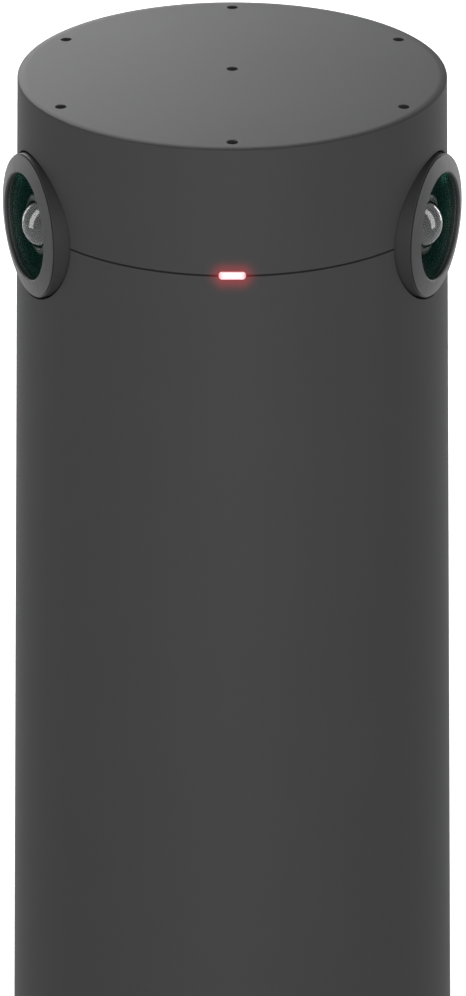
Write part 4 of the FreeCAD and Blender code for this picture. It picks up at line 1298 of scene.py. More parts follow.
    def crown_lines(self) -> tuple[np.ndarray, np.ndarray]:
        """Radii and azimuths of the top's grid, close together round each port."""
        half = self.port_radius * self.port_square
        steps = np.array([0.0, 0.25, 0.45, 0.60, PORT_FLOOR, PORT_WALL, PORT_LIP, 0.91, 1.0])
        local = np.concatenate([-steps[:0:-1], steps]) * half
        inner = np.linspace(self.port_radius * 1.08, self.port_ring - half, 26)
        radii = np.concatenate([inner[:-1], self.port_ring + local, [self.port_ring + half + 0.6]])
        spread = np.degrees(local / self.port_ring)
        step = FULL_TURN / self.port_count
        between = np.linspace(spread[-1], step + spread[0], 26)[1:-1]
        sector = np.concatenate([spread, between])
        azimuths = np.concatenate([sector + step * number for number in range(self.port_count)])
        return radii, np.append(azimuths, azimuths[0] + FULL_TURN)

    def crown_grid(self) -> np.ndarray:
        """The top with its ports as one polar grid.

        Round each port the grid's squares become circles: a point at the local
        place (u, v) with s = max(|u|, |v|) goes to the direction of (u, v) at a
        radius that follows s, and beyond the port it eases back to its square.
        The port's depth follows s too.

        Returns:
            Rows by columns by 3 array, from the middle port out to the rim.
        """
        radii, azimuths = self.crown_lines()
        ring, local_u, local_v, share = self._port_places(radii, azimuths)
        half = self.port_radius * self.port_square
        places = [0.0, PORT_FLOOR, PORT_WALL, PORT_LIP]
        reach = np.hypot(local_u, local_v)
        reach[reach == 0] = 1.0
        circle = np.interp(share, places, [0.0, 1.0, 1.0, 1.06]) * self.port_radius / reach
        ease = np.clip((share - PORT_LIP) / (1.0 - PORT_LIP), 0.0, 1.0)
        inside = share <= 1.0
        factor = np.where(inside, (1 - ease) * circle + ease * half, half)
        radius = self.port_ring + local_u * factor
        azimuth = ring + np.degrees(local_v * factor / self.port_ring)
        depth = np.interp(share, places, [1.0, 1.0, 0.06, 0.0]) * self.port_depth
        points = placed(radius, azimuth, self.crown_height(radius) - np.where(inside, depth, 0.0))
        floor, lip, edge = self.top - self.port_depth, self.top - self.port_lip, self.port_radius
        middle = np.array([[0.0, floor], [edge, floor], [edge, lip]])
        return np.concatenate([turned(middle, azimuths), points])[::-1]

    def _port_places(self, radii: np.ndarray, azimuths: np.ndarray) -> tuple[np.ndarray, ...]:
        """Nearest port's azimuth and the local place of each grid point, in port half widths."""
        half = self.port_radius * self.port_square
        step = FULL_TURN / self.port_count
        grid_radius, grid_azimuth = np.meshgrid(radii, azimuths, indexing="ij")
        ring = np.round(grid_azimuth / step) * step
        local_u = (grid_radius - self.port_ring) / half
        local_v = np.radians(grid_azimuth - ring) * self.port_ring / half
        return ring, local_u, local_v, np.maximum(np.abs(local_u), np.abs(local_v))

    def _port_slots(self) -> np.ndarray:
        """Slot 1, the near-black painted shade, for the faces inside a port; slot 0 for the rest of
        the top.
        """
        radii, azimuths = self.crown_lines()
        share = self._port_places(radii, azimuths)[3]
        corner = np.maximum.reduce([share[:-1, :-1], share[1:, :-1], share[:-1, 1:], share[1:, 1:]])
        slots = (corner <= PORT_WALL + 0.001).astype(int)
        middle = np.ones((2, slots.shape[1]), dtype=int)
        lip = np.zeros((1, slots.shape[1]), dtype=int)
        return np.concatenate([middle, lip, slots])[::-1]

    def make_housing(self) -> bpy.types.Object:
        """Main housing: a tube with its seam edge, rear window and rounded foot."""
        edge = self.edge(upper=False)
        rows, azimuth, height = self.edge_rows(edge, upper=False)
        level = np.full(azimuth.size, self.seam - self.lens_bore - self.calm)
        high, low = (np.full(azimuth.size, value) for value in self.window_frame())
        shoulder = self.foot + self.foot_shoulder
        sides = self.side_rows(azimuth, height, level, 10), self.side_rows(azimuth, level, high, 16)
        upper = np.concatenate([rows, sides[0], sides[1][1:]])
        band = self.side_rows(azimuth, high, low, 30)
        lower = self.side_rows(azimuth, low, np.full(azimuth.size, shoulder), 5)
        bore = self.foot_bore
        bottom = softened(
            [
                (self.radius(shoulder), shoulder),
                (self.radius(self.foot), self.foot, self.foot_round),
                (bore, self.foot, 0.2),
                (bore, low[0]),
            ]
        )
        lower = np.concatenate([lower, turned(bottom, azimuth)[1:]])
        heights = band[::-1, 0, 2]
        inner_band = turned(np.stack([np.full(heights.size, bore), heights], axis=1), azimuth)
        step = [(bore, high[0]), (bore, self.foot_bore_top), (self.cavity, self.foot_bore_top)]
        ledge = turned(np.array(step), azimuth)
        first = int(np.searchsorted(azimuth, FULL_TURN / 2 - self.window_azimuth))
        last = int(np.searchsorted(azimuth, self.window_azimuth - FULL_TURN / 2))
        window = self.window_patch(azimuth[first:], azimuth[: last + 1], heights)
        patches = [
            Patch(upper, 0, inward=True),
            Patch(band[:, last : first + 1], 0, inward=True),
            Patch(lower, 0, inward=True),
            Patch(inner_band[:, last : first + 1], 0, inward=True),
            Patch(np.concatenate([ledge, rows[:1]]), 0, inward=True),
            Patch(window),
        ]
        piece = make_piece(
            "main_shell",
            patches,
            [self.finishes.graphite],
            replaces=["main_housing"],
        )
        smooth_side(piece, self.radius, self.draft)
        return piece

    def window_frame(self) -> tuple[float, float]:
        """Heights above and below the rear window between which its patch lies."""
        half = self.window_height / 2 + self.window_margin
        return self.window_middle + half, self.window_middle - half

    def window_patch(
        self, before: np.ndarray, after: np.ndarray, heights: np.ndarray
    ) -> np.ndarray:
        """The wall round the rear window, the window's reveal and the inside round it.

        The frame's outline (u, v) in -1..1 shrinks to the window's rectangle
        (-u w/2, v h/2), whose corners are pulled onto arcs of the corner radius.
        Every point outside lies on the side's surface y = sqrt(R(z)^2 - x^2), and
        every one inside on the lower bore, at y = sqrt(bore^2 - x^2).

        Args:
            before: Azimuths up to the back.
            after: Azimuths from the back on, less a full turn.
            heights: Heights of the frame's rows, upwards.

        Returns:
            Rows by columns by 3 array, from the frame through the wall and back out to it.
        """
        across = np.concatenate([before, after[1:] + FULL_TURN])
        low, high = (np.full(across.size, heights[end]) for end in (0, -1))
        near, far = (np.full(heights.size, across[end]) for end in (0, -1))
        loop_azimuth = np.concatenate([across, far[1:], across[-2::-1], near[1:]])
        loop_height = np.concatenate([low, heights[1:], high[1:], heights[-2::-1]])
        half_turn = FULL_TURN / 2
        half_width, half_height = self.window_width / 2, self.window_height / 2
        share_x = (loop_azimuth - half_turn) / (across[-1] - half_turn)
        share_z = (loop_height - self.window_middle) / (heights[-1] - self.window_middle)
        inner = np.stack([-share_x * half_width, share_z * half_height], axis=1)
        corner = np.array([half_width, half_height]) - self.window_corner
        beyond = np.maximum(np.abs(inner) - corner, 0.0)
        length = np.linalg.norm(beyond, axis=1, keepdims=True)
        both = np.all(beyond > 0, axis=1, keepdims=True)
        arc = corner + beyond / np.where(length > 0, length, 1.0) * self.window_corner
        inner = np.where(both, np.sign(inner) * arc, inner)
        outer_x = self.radius(loop_height) * np.sin(np.radians(loop_azimuth))
        outer = np.stack([outer_x, loop_height - self.window_middle], axis=1)
        share = np.array([0.0, 0.35, 0.7, 0.9, 1.0])[:, None, None]
        edge = widened(inner, self.break_edge)
        wall = np.concatenate([outer * (1 - share) + edge * share, inner[None]])
        height = wall[..., 1] + self.window_middle
        depth = np.sqrt(self.radius(height) ** 2 - wall[..., 0] ** 2)
        depth[-1] -= self.break_edge
        rows = np.stack([wall[..., 0], depth, height], axis=-1)
        bore_x = self.foot_bore * np.sin(np.radians(loop_azimuth))
        bore_frame = np.stack([bore_x, loop_height - self.window_middle], axis=1)
        inside = inner * (1 - share) + bore_frame * share
        depth = np.sqrt(self.foot_bore**2 - inside[..., 0] ** 2)
        parts = [inside[..., 0], depth, inside[..., 1] + self.window_middle]
        return np.concatenate([rows, np.stack(parts, axis=-1)])


@dataclass
class LensModule:
    """One wide-angle lens in its ring, clamped in the seam.

    Distances along the optical axis are measured from the column's middle.

    Attributes:
        finishes: Materials of the object.
        side: Name of the side that it looks to.
        azimuth: Direction that it looks in.
        height: Height of its axis.
        flank: Radius of the ring's flank.
        flank_top: Distance of the flank's top.
        groove: Radius at the bottom of the groove between flank and face.
        face_edge: Outer radius of the sloping face.
        face_low: Distance of the face's outer edge.
        lip_top: Distance of the face's inner edge.
        bore: Radius of the lens opening.
        root: Distance of the flank's foot.
        play: Room between the ring's bore and the barrel.
        baffle_wide: Radius inside the outermost baffle.
        baffle_narrow: Radius inside the innermost baffle.
        baffle_count: Rings of the stepped baffle.
        barrel_bore: Radius inside the barrel behind the baffles.
        glass_edge: Distance of the cover glass's edge.
        glass_rise: Bulge of the cover glass.
        glass_wall: Thickness of the cover glass.
        glass_inside: Radius of the cover glass's hollow side.
        retainer: Outer radius of the retainer ring.
        retainer_depth: Depth of the retainer ring.
        dome: Radius of the inner element.
        dome_foot: Distance of the inner element's back.
        dome_seat: Distance at which its dome begins.
        dome_rise: Bulge of the inner element.
    """

    finishes: Finishes
    side: str
    azimuth: float
    height: float
    flank: float = 13.5
    flank_top: float = 40.85
    groove: float = 13.12
    face_edge: float = 13.3
    face_low: float = 41.08
    lip_top: float = 41.85
    bore: float = 10.04
    root: float = 35.1
    play: float = 0.02
    baffle_wide: float = 9.6
    baffle_narrow: float = 5.9
    baffle_count: int = 9
    barrel_bore: float = 5.75
    glass_edge: float = 41.45
    glass_rise: float = 1.05
    glass_wall: float = 0.45
    glass_inside: float = 9.3
    retainer: float = 5.7
    retainer_depth: float = 1.2
    dome: float = 4.46
    dome_foot: float = 36.6
    dome_seat: float = 39.4
    dome_rise: float = 2.5

    def axis(self) -> Axis:
        """Optical axis of the lens."""
        return Axis.facing(self.azimuth, self.height)

    def make(self) -> list[bpy.types.Object]:
        """Makes the ring, the barrel, the inner element with its retainer, and the cover glass."""
        return [
            self.make_ring(),
            self.make_barrel(),
            self.make_retainer(),
            self.make_inner_glass(),
            self.make_front_glass(),
        ]

    def make_ring(self) -> bpy.types.Object:
        """Ring: black flank, shadow groove, sloping satin face and black bore."""
        groove_low, groove_high = self.flank_top + 0.05, self.face_low - 0.06
        bore_top = self.lip_top - 0.30
        flank = softened(
            [
                (self.flank, self.root),
                (self.flank, self.flank_top, 0.10),
                (self.groove, groove_low),
                (self.groove, groove_high),
            ]
        )
        face = softened(
            [
                (self.groove, groove_high),
                (self.face_edge, self.face_low, 0.05),
                (self.bore + 0.26, self.lip_top, 0.10),
                (self.bore + 0.02, self.lip_top - 0.20, 0.06),
                (self.bore, bore_top),
            ]
        )
        bore = np.array([(self.bore, bore_top), (self.bore, self.root), (self.flank, self.root)])
        grids = [self.axis().turned(profile, 128) for profile in (face, flank, bore)]
        patches = [Patch(grid, slot) for grid, slot in zip(grids, (0, 1, 1))]
        finishes = [self.finishes.ring, self.finishes.flank]
        return self._piece("ring", patches, finishes, "lens_barrels")

    def make_barrel(self) -> bpy.types.Object:
        """Black inside of the barrel: baffle steps that lead down to the inner element."""
        depths = np.linspace(self.glass_edge - 0.6, self.dome_seat - 0.5, self.baffle_count)
        radii = np.linspace(self.baffle_wide, self.baffle_narrow, self.baffle_count)
        steps = np.stack([np.repeat(radii, 2)[:-1], np.repeat(depths, 2)[1:]], axis=1)
        outside, inside = self.bore - self.play, self.barrel_bore
        rim = [(outside, depths[0]), (radii[0], depths[0])]
        back = [(inside, depths[-1]), (inside, self.root), (outside, self.root), rim[0]]
        profile = np.concatenate([rim, steps[1:], back])
        return self._turned("barrel", profile, self.finishes.barrel, "lens_barrels")

    def make_retainer(self) -> bpy.types.Object:
        """Threaded retainer ring round the inner element."""
        seat, back = self.dome_seat, self.dome_seat - self.retainer_depth
        inner = self.dome + 0.03
        profile = softened(
            [
                (self.retainer, back),
                (self.retainer, seat - 0.15, 0.12),
                (self.retainer - 0.35, seat + 0.02, 0.10),
                (self.retainer - 0.95, seat + 0.10, 0.10),
                (inner, seat - 0.05, 0.06),
                (inner, back),
                (self.retainer, back),
            ]
        )
        return self._turned("retainer", profile, self.finishes.retainer, "lens_barrels")

    def make_front_glass(self) -> bpy.types.Object:
        """Cover glass: convex outside, hollow inside, ground edge."""
        radius, edge, back = self.bore - 0.05, self.glass_edge, self.glass_edge - self.glass_wall
        outer = cap_profile(radius, edge, self.glass_rise)
        inner = cap_profile(self.glass_inside, back, self.glass_rise - 0.05)[::-1]
        profile = np.concatenate([inner, [(radius, back)], outer])
        return self._turned("front_glass", profile, self.finishes.front_glass, "front_elements")

    def make_inner_glass(self) -> bpy.types.Object:
        """Inner element: strongly convex, so that it mirrors the room in a small bright dome."""
        dome = cap_profile(self.dome, self.dome_seat, self.dome_rise, 24)
        profile = np.concatenate([[(0.0, self.dome_foot), (self.dome, self.dome_foot)], dome])
        return self._turned("inner_glass", profile, self.finishes.inner_glass, "inner_elements", 72)

    def _turned(
        self, part: str, profile: np.ndarray, finish: bpy.types.Material, node: str, count: int = 96
    ) -> bpy.types.Object:
        """Makes one piece of the lens from a profile turned about the optical axis."""
        return self._piece(part, [Patch(self.axis().turned(profile, count))], [finish], node)

    def _piece(
        self, part: str, patches: list[Patch], finishes: list[bpy.types.Material], node: str
    ) -> bpy.types.Object:
        """Makes one piece of the lens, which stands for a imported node."""
        return make_piece(f"{self.side}_lens_{part}", patches, finishes, replaces=[node])


@dataclass
class StatusLight:
    """Lit window at the front of the seam.

    Attributes:
        finishes: Materials of the object.
        height: Height of its middle.
        reach: Distance of its face from the column's middle.
        half_run: Half of the straight part between its round ends.
        radius: Radius of its ends.
        depth: Depth of the light pipe that shows.
        bulge: Rise of its domed face.
    """

    finishes: Finishes
    height: float
    reach: float
    half_run: float = 1.75
    radius: float = 0.74
    depth: float = 2.6
    bulge: float = 0.12

    def make(self) -> bpy.types.Object:
        """Makes the light pipe.

        With s running from the rim (1) to the middle (0), a point of the face is
        (s (run + r cos t), s r sin t) at the height bulge (1 - s^2).
        """
        angle = np.linspace(0.0, 2 * math.pi, 65)[None, :]
        run = np.where(np.cos(angle) > 0, self.half_run, -self.half_run)
        share = np.concatenate([[0.0, 1.0], np.cos(np.linspace(0.0, math.pi / 2, 12))])[:, None]
        along = self.bulge * (1 - share**2)
        along[:2] = -self.depth
        across = share * (run + self.radius * np.cos(angle))
        up = share * self.radius * np.sin(angle)
        outwards = np.broadcast_to(self.reach + along, across.shape)
        points = Axis.facing(0.0, self.height).at(across, up, outwards)
        return make_piece(
            "status_light",
            [Patch(points)],
            [self.finishes.diffuser],
            replaces=["status_light_pipe"],
        )


@dataclass
class Foot:
    """Rubber foot with turned grooves, and the threaded tripod insert in its middle.

    Attributes:
        finishes: Materials of the object.
        pad_bore: Radius of the pad's hole.
        lip: Width of the flat lip at either edge of the pad.
        grooves: Number of grooves in the foot's underside.
        groove_depth: Depth of a groove.
        pitch: Pitch of the tripod thread.
        crest: Radius of the thread's crests.
        thread_depth: Depth of the thread.
        thread_length: Length of the threaded bore.
        insert_reach: Distance of the insert's flats from its middle.
        insert_face: Radius of the bevelled face at its end.
        insert_turn: Turn of its corners from the front, in degrees.
        mouth_wide: Radius of the countersunk mouth.
        mouth_narrow: Radius at the mouth's inner end.
        bore_end: Radius of the bore's flat end.
    """

    finishes: Finishes
    pad_bore: float = 8.0
    lip: float = 2.2
    grooves: int = 7
    groove_depth: float = 0.45
    pitch: float = 1.27
    crest: float = 2.6
    thread_depth: float = 0.575
    thread_length: float = 8.5
    insert_reach: float = 5.48
    insert_face: float = 5.95
    insert_turn: float = 30.0
    mouth_wide: float = 3.7
    mouth_narrow: float = 3.25
    bore_end: float = 2.2

    def make_pad(self) -> bpy.types.Object:
        """Ring-shaped pad with rounded lips.

        Between its lips the underside's height is depth (1 - cos)^2 / 4 of a wave
        that runs once per groove.
        """
        high = span("foot_pad")[1]
        outer, top = float(high[0]), float(high[2])
        start, finish = self.pad_bore + self.lip, outer - self.lip
        share = np.linspace(0.0, 1.0, 24 * self.grooves + 1)
        wave = (1 - np.cos(2 * math.pi * self.grooves * share)) / 2
        ridge = np.stack([start + share * (finish - start), self.groove_depth * wave**2], axis=1)
        inside = softened([(self.pad_bore, top), (self.pad_bore, 0.0, 0.5), (start, 0.0)])
        rim = [(finish, 0.0), (outer, 0.0, 0.6), (outer, top, 0.15), (outer - 0.8, top)]
        profile = np.concatenate([inside[:-1], ridge, softened(rim)[1:], inside[:1]])
        return make_piece(
            "foot_ring",
            [Patch(turned(profile, around(160)))],
            [self.finishes.rubber],
            replaces=["foot_pad"],
        )

    def make_insert(self) -> bpy.types.Object:
        """Six-sided brass insert whose bore carries a helical thread.

        The outside's radius is reach / cos(b), with b the angle to the nearest
        flat.  The bore's radius at height z and turn a is crest + depth |2 f - 1|
        with f the fraction of z / pitch - a / full turn.
        """
        low, high = (float(corner[2]) for corner in span("tripod_insert"))
        start = low + 0.5
        azimuths = around(72)
        bearing = np.mod(azimuths + self.insert_turn, 60.0) - 30.0
        flats = self.insert_reach / np.cos(np.radians(bearing))
        face = np.minimum(flats, self.insert_face)
        rings = [(0.0 * flats, high), (flats, high), (flats, start), (face, low)]
        outside = np.stack([placed(radius, azimuths, height) for radius, height in rings])
        mouth = turned(np.array([[self.mouth_wide, low], [self.mouth_narrow, low + 0.4]]), azimuths)
        heights = start + np.linspace(0.0, self.thread_length, 57)[:, None]
        phase = np.mod((heights - low) / self.pitch - azimuths[None, :] / FULL_TURN, 1.0)
        radius = self.crest + self.thread_depth * np.abs(2 * phase - 1)
        thread = placed(radius, azimuths[None, :], heights)
        last = start + self.thread_length
        end = turned(np.array([[self.bore_end, last], [0.0, last]]), azimuths)
        points = np.concatenate([outside, mouth, thread, end])
        return make_piece(
            "threaded_insert",
            [Patch(points, 0, inward=True)],
            [self.finishes.brass],
            replaces=["tripod_insert"],
        )


@dataclass
class Ports:
    """Jacks and reset button in the recess at the back.

    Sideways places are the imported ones, along +X.

    Attributes:
        finishes: Materials of the object.
        reach: Distance of the panel's face from the column's middle.
        jack_side: Sideways place of the network jack.
        jack_height: Height of the network jack's middle.
        jack_size: Width and height of the jack's face.
        jack_depth: Depth of the jack.
        socket_size: Width and height of the socket.
        socket_lift: Socket above the jack's middle.
        socket_depth: Depth of the socket.
        latch_width: Width of the latch's slot under the socket.
        latch_drop: Depth of that slot.
        contact_count: Contacts in the socket.
        contact_pitch: Distance between the contacts.
        data_side: Sideways place of the data jack.
        data_height: Height of the data jack's middle.
        data_run: Half of the straight part of its shell.
        data_radius: Outer radius of the shell's ends.
        data_wall: Thickness of the shell.
        data_floor: Depth of the shell's back wall.
        data_depth: Depth of the whole shell.
        button_side: Sideways place of the reset button.
        button_height: Height of the button's middle.
        button_radius: Radius of the button.
        flange_radius: Radius of the button's flange.
        button_rise: Button in front of the panel's face.
        flange_back: Distance of the flange's back behind the panel's face.
        flange_front: Distance of the flange's front behind the panel's face.
    """

    finishes: Finishes
    reach: float = 35.5
    jack_side: float = -12.0
    jack_height: float = 34.0
    jack_size: tuple[float, float] = (16.0, 13.5)
    jack_depth: float = 17.0
    socket_size: tuple[float, float] = (11.8, 8.0)
    socket_lift: float = 0.9
    socket_depth: float = 12.5
    latch_width: float = 6.2
    latch_drop: float = 2.2
    contact_count: int = 8
    contact_pitch: float = 1.02
    data_side: float = 2.5
    data_height: float = 28.88
    data_run: float = 2.84
    data_radius: float = 1.63
    data_wall: float = 0.3
    data_floor: float = 6.0
    data_depth: float = 7.4
    button_side: float = 10.2
    button_height: float = 29.85
    button_radius: float = 1.88
    flange_radius: float = 2.35
    button_rise: float = 0.78
    flange_back: float = 2.55
    flange_front: float = 2.1

    def make(self) -> list[bpy.types.Object]:
        """Makes the network jack and its contacts, the data jack's shell and the button."""
        return [self.make_jack(), self.make_contacts(), self.make_data_shell(), self.make_button()]

    def make_jack(self) -> bpy.types.Object:
        """Network jack: bevelled front round a socket with its latch slot."""
        half, rise, key = self.socket_size[0] / 2, self.socket_size[1] / 2, self.latch_width / 2
        high, low = self.socket_lift + rise, self.socket_lift - rise
        latch = low - self.latch_drop
        socket = [(half, low), (half, high), (-half, high), (-half, low)]
        socket += [(-key, low), (-key, latch), (key, latch), (key, low)]
        body = rectangle(*self.jack_size)
        angles = corner_angles(socket, body)
        outer, inner = star_loop(body, angles), star_loop(socket, angles)
        face, floor = self.reach, self.reach - self.socket_depth + 0.1
        loops = [
            (outer * 0.0, face - self.jack_depth),
            (outer, face - self.jack_depth),
            (outer, face - 0.3),
            (widened(outer, -0.3), face),
            (widened(inner, 0.3), face),
            (inner, face - 0.3),
            (inner, floor),
            (inner * 0.0, floor),
        ]
        points = Axis.facing(180.0, self.jack_height, -self.jack_side).carried(loops)
        return make_piece(
            "network_socket_body",
            [Patch(points)],
            [self.finishes.jack_plastic],
            replaces=["network_jack"],
        )

    def make_contacts(self) -> bpy.types.Object:
        """Spring contacts: each wire leaves the socket's ceiling and slopes down to the back."""
        ceiling = self.jack_height + self.socket_lift + self.socket_size[1] / 2
        back = self.reach - self.socket_depth
        path = softened(
            [
                (back + 8.6, ceiling - 0.5),
                (back + 8.2, ceiling - 0.14, 0.35),
                (back + 7.4, ceiling - 0.3, 0.4),
                (back + 0.4, ceiling - 2.6),
            ]
        )
        loop = stadium(0.06, 0.14, 12)
        patches = []
        for number in range(self.contact_count):
            side = self.jack_side + self.contact_pitch * (number - (self.contact_count - 1) / 2)
            parts = np.broadcast_arrays(side + loop[:, 0], path[:, :1], path[:, 1:] + loop[:, 1])
            patches.append(Patch(capped(np.stack(parts, axis=-1))))
        return make_piece(
            "network_springs",
            patches,
            [self.finishes.gold],
            replaces=["network_contacts"],
        )

    def make_data_shell(self) -> bpy.types.Object:
        """Shell of the data jack: a rolled round-ended tube with a back wall."""
        half = self.data_wall / 2
        radii = (self.data_radius - inset for inset in (0.0, half, self.data_wall))
        outer, middle, inner = (stadium(self.data_run, radius) for radius in radii)
        lip = [
            (middle + (outer - middle) * math.cos(turn), self.reach - half + half * math.sin(turn))
            for turn in np.linspace(0.0, math.pi, 7)
        ]
        back, end = self.reach - self.data_floor, self.reach - self.data_depth
        loops = [(outer * 0.0, end), (outer, end), *lip, (inner, back), (inner * 0.0, back)]
        points = Axis.facing(180.0, self.data_height, -self.data_side).carried(loops)
        return make_piece(
            "data_shell",
            [Patch(points)],
            [self.finishes.plated],
            replaces=["usb_jack"],
        )

    def make_button(self) -> bpy.types.Object:
        """Reset button with a rounded edge, a shallow dish and its retaining flange."""
        face, radius = self.reach + self.button_rise, self.button_radius
        back, ledge = self.reach - self.flange_back, self.reach - self.flange_front
        profile = softened(
            [
                (0.0, back),
                (self.flange_radius, back, 0.1),
                (self.flange_radius, ledge, 0.1),
                (radius, ledge),
                (radius, face, 0.3),
                (radius * 0.62, face, 0.2),
                (radius * 0.40, face - 0.12, 0.2),
                (0.0, face - 0.16),
            ]
        )
        points = Axis.facing(180.0, self.button_height, -self.button_side).turned(profile, 64)
        return make_piece(
            "reset_key",
            [Patch(points)],
            [self.finishes.button],
            Body.RESET,
            replaces=["reset_button"],
        )


@dataclass
class PackedNodes:
    """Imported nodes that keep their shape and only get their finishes.

    Attributes:
        finishes: Materials of the object.
    """

    finishes: Finishes

    def dress(self) -> None:
        """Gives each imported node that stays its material."""
        for name, finish in self._table().items():
            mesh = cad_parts[name].data
            mesh.materials.clear()
            mesh.materials.append(finish)
            LOG.info("%s: packed node dressed", name)

    def _table(self) -> dict[str, bpy.types.Material]:
        """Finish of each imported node."""
        finishes = self.finishes
        groups = (
            (finishes.board, "status_light_board mic_board main_board io_board"),
            (finishes.board, "sensor_board_left sensor_board_right"),
            (finishes.polymer, "lens_holder_left lens_holder_right usb_tongue reset_switch"),
            (finishes.casting, "camera_cradle base_frame"),
            (finishes.sensor, "image_sensor_left image_sensor_right"),
            (finishes.tin, "microphones shield_cans"),
            (finishes.chip, "processor memory_chips"),
            (finishes.led, "status_leds"),
            (finishes.foam, "port_foams"),
            (finishes.iron, "ballast_block"),
            (finishes.silicone, "thermal_pad"),
            (finishes.sink, "heat_sink"),
            (finishes.port_plastic, "port_panel"),
            (finishes.lock_steel, "lock_slot_plate"),
            (finishes.brass, "io_standoffs"),
        )
        return {name: finish for finish, names in groups for name in names.split()}


# Studio

@dataclass(frozen=True)
class Softbox:
    """One rectangular lamp that looks at a point.

    Attributes:
        name: Name of the lamp.
        place: Where it stands, in metres.
        size: Width and height in metres.
        power: Power in watts.
        target: Point that it looks at, in metres.
        card: True for a card that shows in reflections and lights nothing else.
    """

    name: str
    place: tuple[float, float, float]
    size: tuple[float, float]
    power: float
    target: tuple[float, float, float] = (0.0, 0.0, 0.24)
    card: bool = False

    def build(self) -> None:
        """Makes the lamp."""
        lamp = bpy.data.lights.new(self.name, "AREA")
        lamp.shape = "RECTANGLE"
        lamp.size, lamp.size_y = self.size
        lamp.energy = self.power
        item = bpy.data.objects.new(self.name, lamp)
        item.location = self.place
        item.rotation_euler = looking(self.place, self.target)
        item.visible_camera = False
        item.visible_diffuse = not self.card
        bpy.context.scene.collection.objects.link(item)


def looking(place: Sequence[float], target: Sequence[float]) -> tuple[float, float, float]:
    """Euler angles of a lamp or camera at a place that looks at a target."""
    away = np.array(target) - np.array(place)
    flat = math.hypot(away[0], away[1])
    return math.pi / 2 + math.atan2(away[2], flat), 0.0, math.atan2(-away[0], away[1])


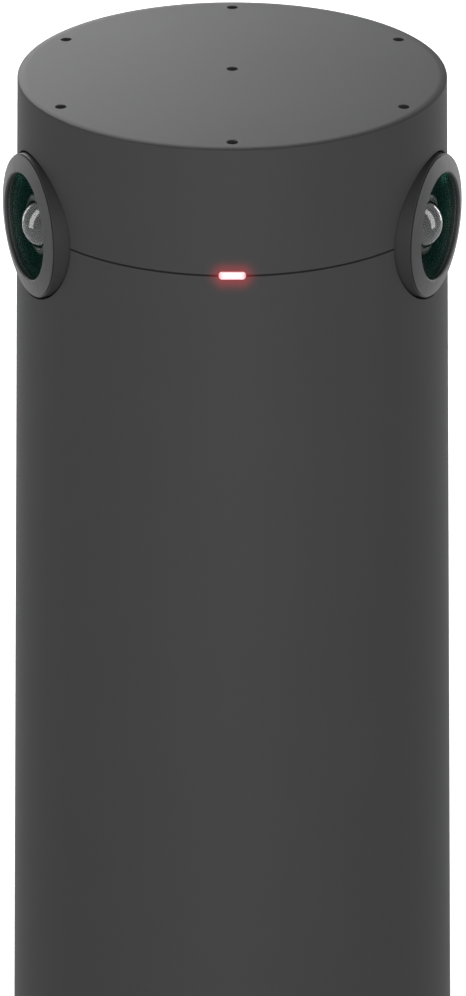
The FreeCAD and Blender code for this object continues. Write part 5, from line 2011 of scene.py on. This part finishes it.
@dataclass
class Studio:
    """Camera, floor, surroundings and lamps.

    Attributes:
        camera_place: Where the camera stands, in metres.
        pitch: Angle that it looks down, in degrees.
        yaw: Angle that it turns to the left, in degrees.
        focal: Focal length for a 36 mm wide picture.
        surround: Grey of the surroundings that light the object.
        floor_grey: Grey of the floor.
        shade: Depth of the painted shade, a darkening of the floor's glow under the object.
        floor_half: Half of the floor's side, in metres.
        painted_shade_reach: Distance from the object at which the painted shade has faded and the
            floor has turned white.
        lamps: Softboxes.
    """

    camera_place: tuple[float, float, float] = (0.0, -0.9782, 0.6376)
    pitch: float = 24.48
    yaw: float = -0.0082
    focal: float = 201.67
    surround: float = 0.04
    floor_grey: float = 0.5
    shade: float = 0.22
    floor_half: float = 30.0
    painted_shade_reach: float = 1.5
    lamps: tuple[Softbox, ...] = (
        Softbox("back_top", (-0.3, 1.2, 0.85), (0.6, 0.6), 23.0),
        Softbox("left_back", (-0.62, 0.65, 0.26), (0.06, 0.46), 0.7),
        Softbox("right_back", (0.62, 0.65, 0.26), (0.08, 0.46), 1.4),
        Softbox("left_card", (-0.86, -0.17, 0.45), (0.34, 1.3), 6.8, card=True),
        Softbox("right_card", (0.86, -0.17, 0.45), (0.34, 1.3), 6.8, card=True),
        Softbox("front_strip", (0.0, -1.7, 0.45), (0.40, 1.2), 37.0),
    )

    def build(self) -> None:
        """Makes the whole studio."""
        self.make_camera()
        self.make_floor()
        self.make_world()
        for lamp in self.lamps:
            lamp.build()
        bpy.context.scene.view_settings.view_transform = "Standard"

    def make_camera(self) -> None:
        """Camera at the photograph's place and angle."""
        lens = bpy.data.cameras.new("photo_camera")
        lens.sensor_width = 36.0
        lens.lens = self.focal
        lens.clip_end = 50.0
        camera = bpy.data.objects.new("photo_camera", lens)
        camera.location = self.camera_place
        camera.rotation_euler = (math.radians(90.0 - self.pitch), 0.0, math.radians(self.yaw))
        bpy.context.scene.collection.objects.link(camera)
        bpy.context.scene.camera = camera

    @staticmethod
    def shown_white(sheet: Sheet) -> Value:
        """1 for rays from the camera, mirrors and glass, which all see the backdrop as white."""
        path = sheet.node("ShaderNodeLightPath", {}, {})
        kinds = ("Is Camera Ray", "Is Glossy Ray", "Is Transmission Ray")
        seen = [Value(sheet, path.outputs[kind]) for kind in kinds]
        return seen[0].high(seen[1]).high(seen[2])

    def make_floor(self) -> None:
        """Pale floor that keeps the object's shadow and turns white at a distance.

        Its glow is 1 - shade (1 - d^2 / reach^2) at a distance d from the object, which paints
        shade round the object.
        """
        size = self.floor_half
        mesh = bpy.data.meshes.new("floor")
        corners = [(-size, -size, 0.0), (size, -size, 0.0), (size, size, 0.0), (-size, size, 0.0)]
        mesh.from_pydata(corners, [], [(0, 1, 2, 3)])
        sheet = Sheet.material("pale_floor")
        grey = (*[self.floor_grey] * 3, 1.0)
        diffuse = sheet.node("ShaderNodeBsdfDiffuse", {}, {"Color": grey})
        across, deep, _ = sheet.parts()
        # Painted shade: the floor's glow is darkened round the object.
        near = (1.0 - (across ** 2.0 + deep ** 2.0) / self.painted_shade_reach**2).high(0.0)
        light = {"Color": WHITE, "Strength": 1.0 - near * self.shade}
        glow = sheet.node("ShaderNodeEmission", {}, light)
        both = sheet.node("ShaderNodeAddShader", {}, {0: diffuse.outputs[0], 1: glow.outputs[0]})
        seen = self.shown_white(sheet)
        shares = {0: seen, 1: diffuse.outputs[0], 2: both.outputs[0]}
        mesh.materials.append(sheet.close(sheet.node("ShaderNodeMixShader", {}, shares)))
        floor = bpy.data.objects.new("floor", mesh)
        bpy.context.scene.collection.objects.link(floor)

    def make_world(self) -> None:
        """Even grey surroundings, white where they are seen."""
        world = bpy.data.worlds.new("studio_world")
        bpy.context.scene.world = world
        sheet = Sheet(world, "ShaderNodeOutputWorld")
        strength = self.shown_white(sheet) * (1.0 - self.surround) + self.surround
        sheet.close(sheet.node("ShaderNodeBackground", {}, {"Color": WHITE, "Strength": strength}))


def main() -> None:
    """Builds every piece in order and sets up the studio."""
    logging.basicConfig(level=logging.INFO, format="%(name)s: %(message)s")
    finishes = Finishes()
    PackedNodes(finishes).dress()
    column = Column(finishes)
    column.make_cap()
    column.make_housing()
    for side, azimuth in (("left", -column.lens_azimuth), ("right", column.lens_azimuth)):
        LensModule(finishes, side, azimuth, column.seam).make()
    StatusLight(finishes, column.seam, float(column.radius(column.seam)) - 0.1).make()
    foot = Foot(finishes)
    foot.make_pad()
    foot.make_insert()
    Ports(finishes).make()
    Studio().build()


if __name__ == "__main__":
    main()
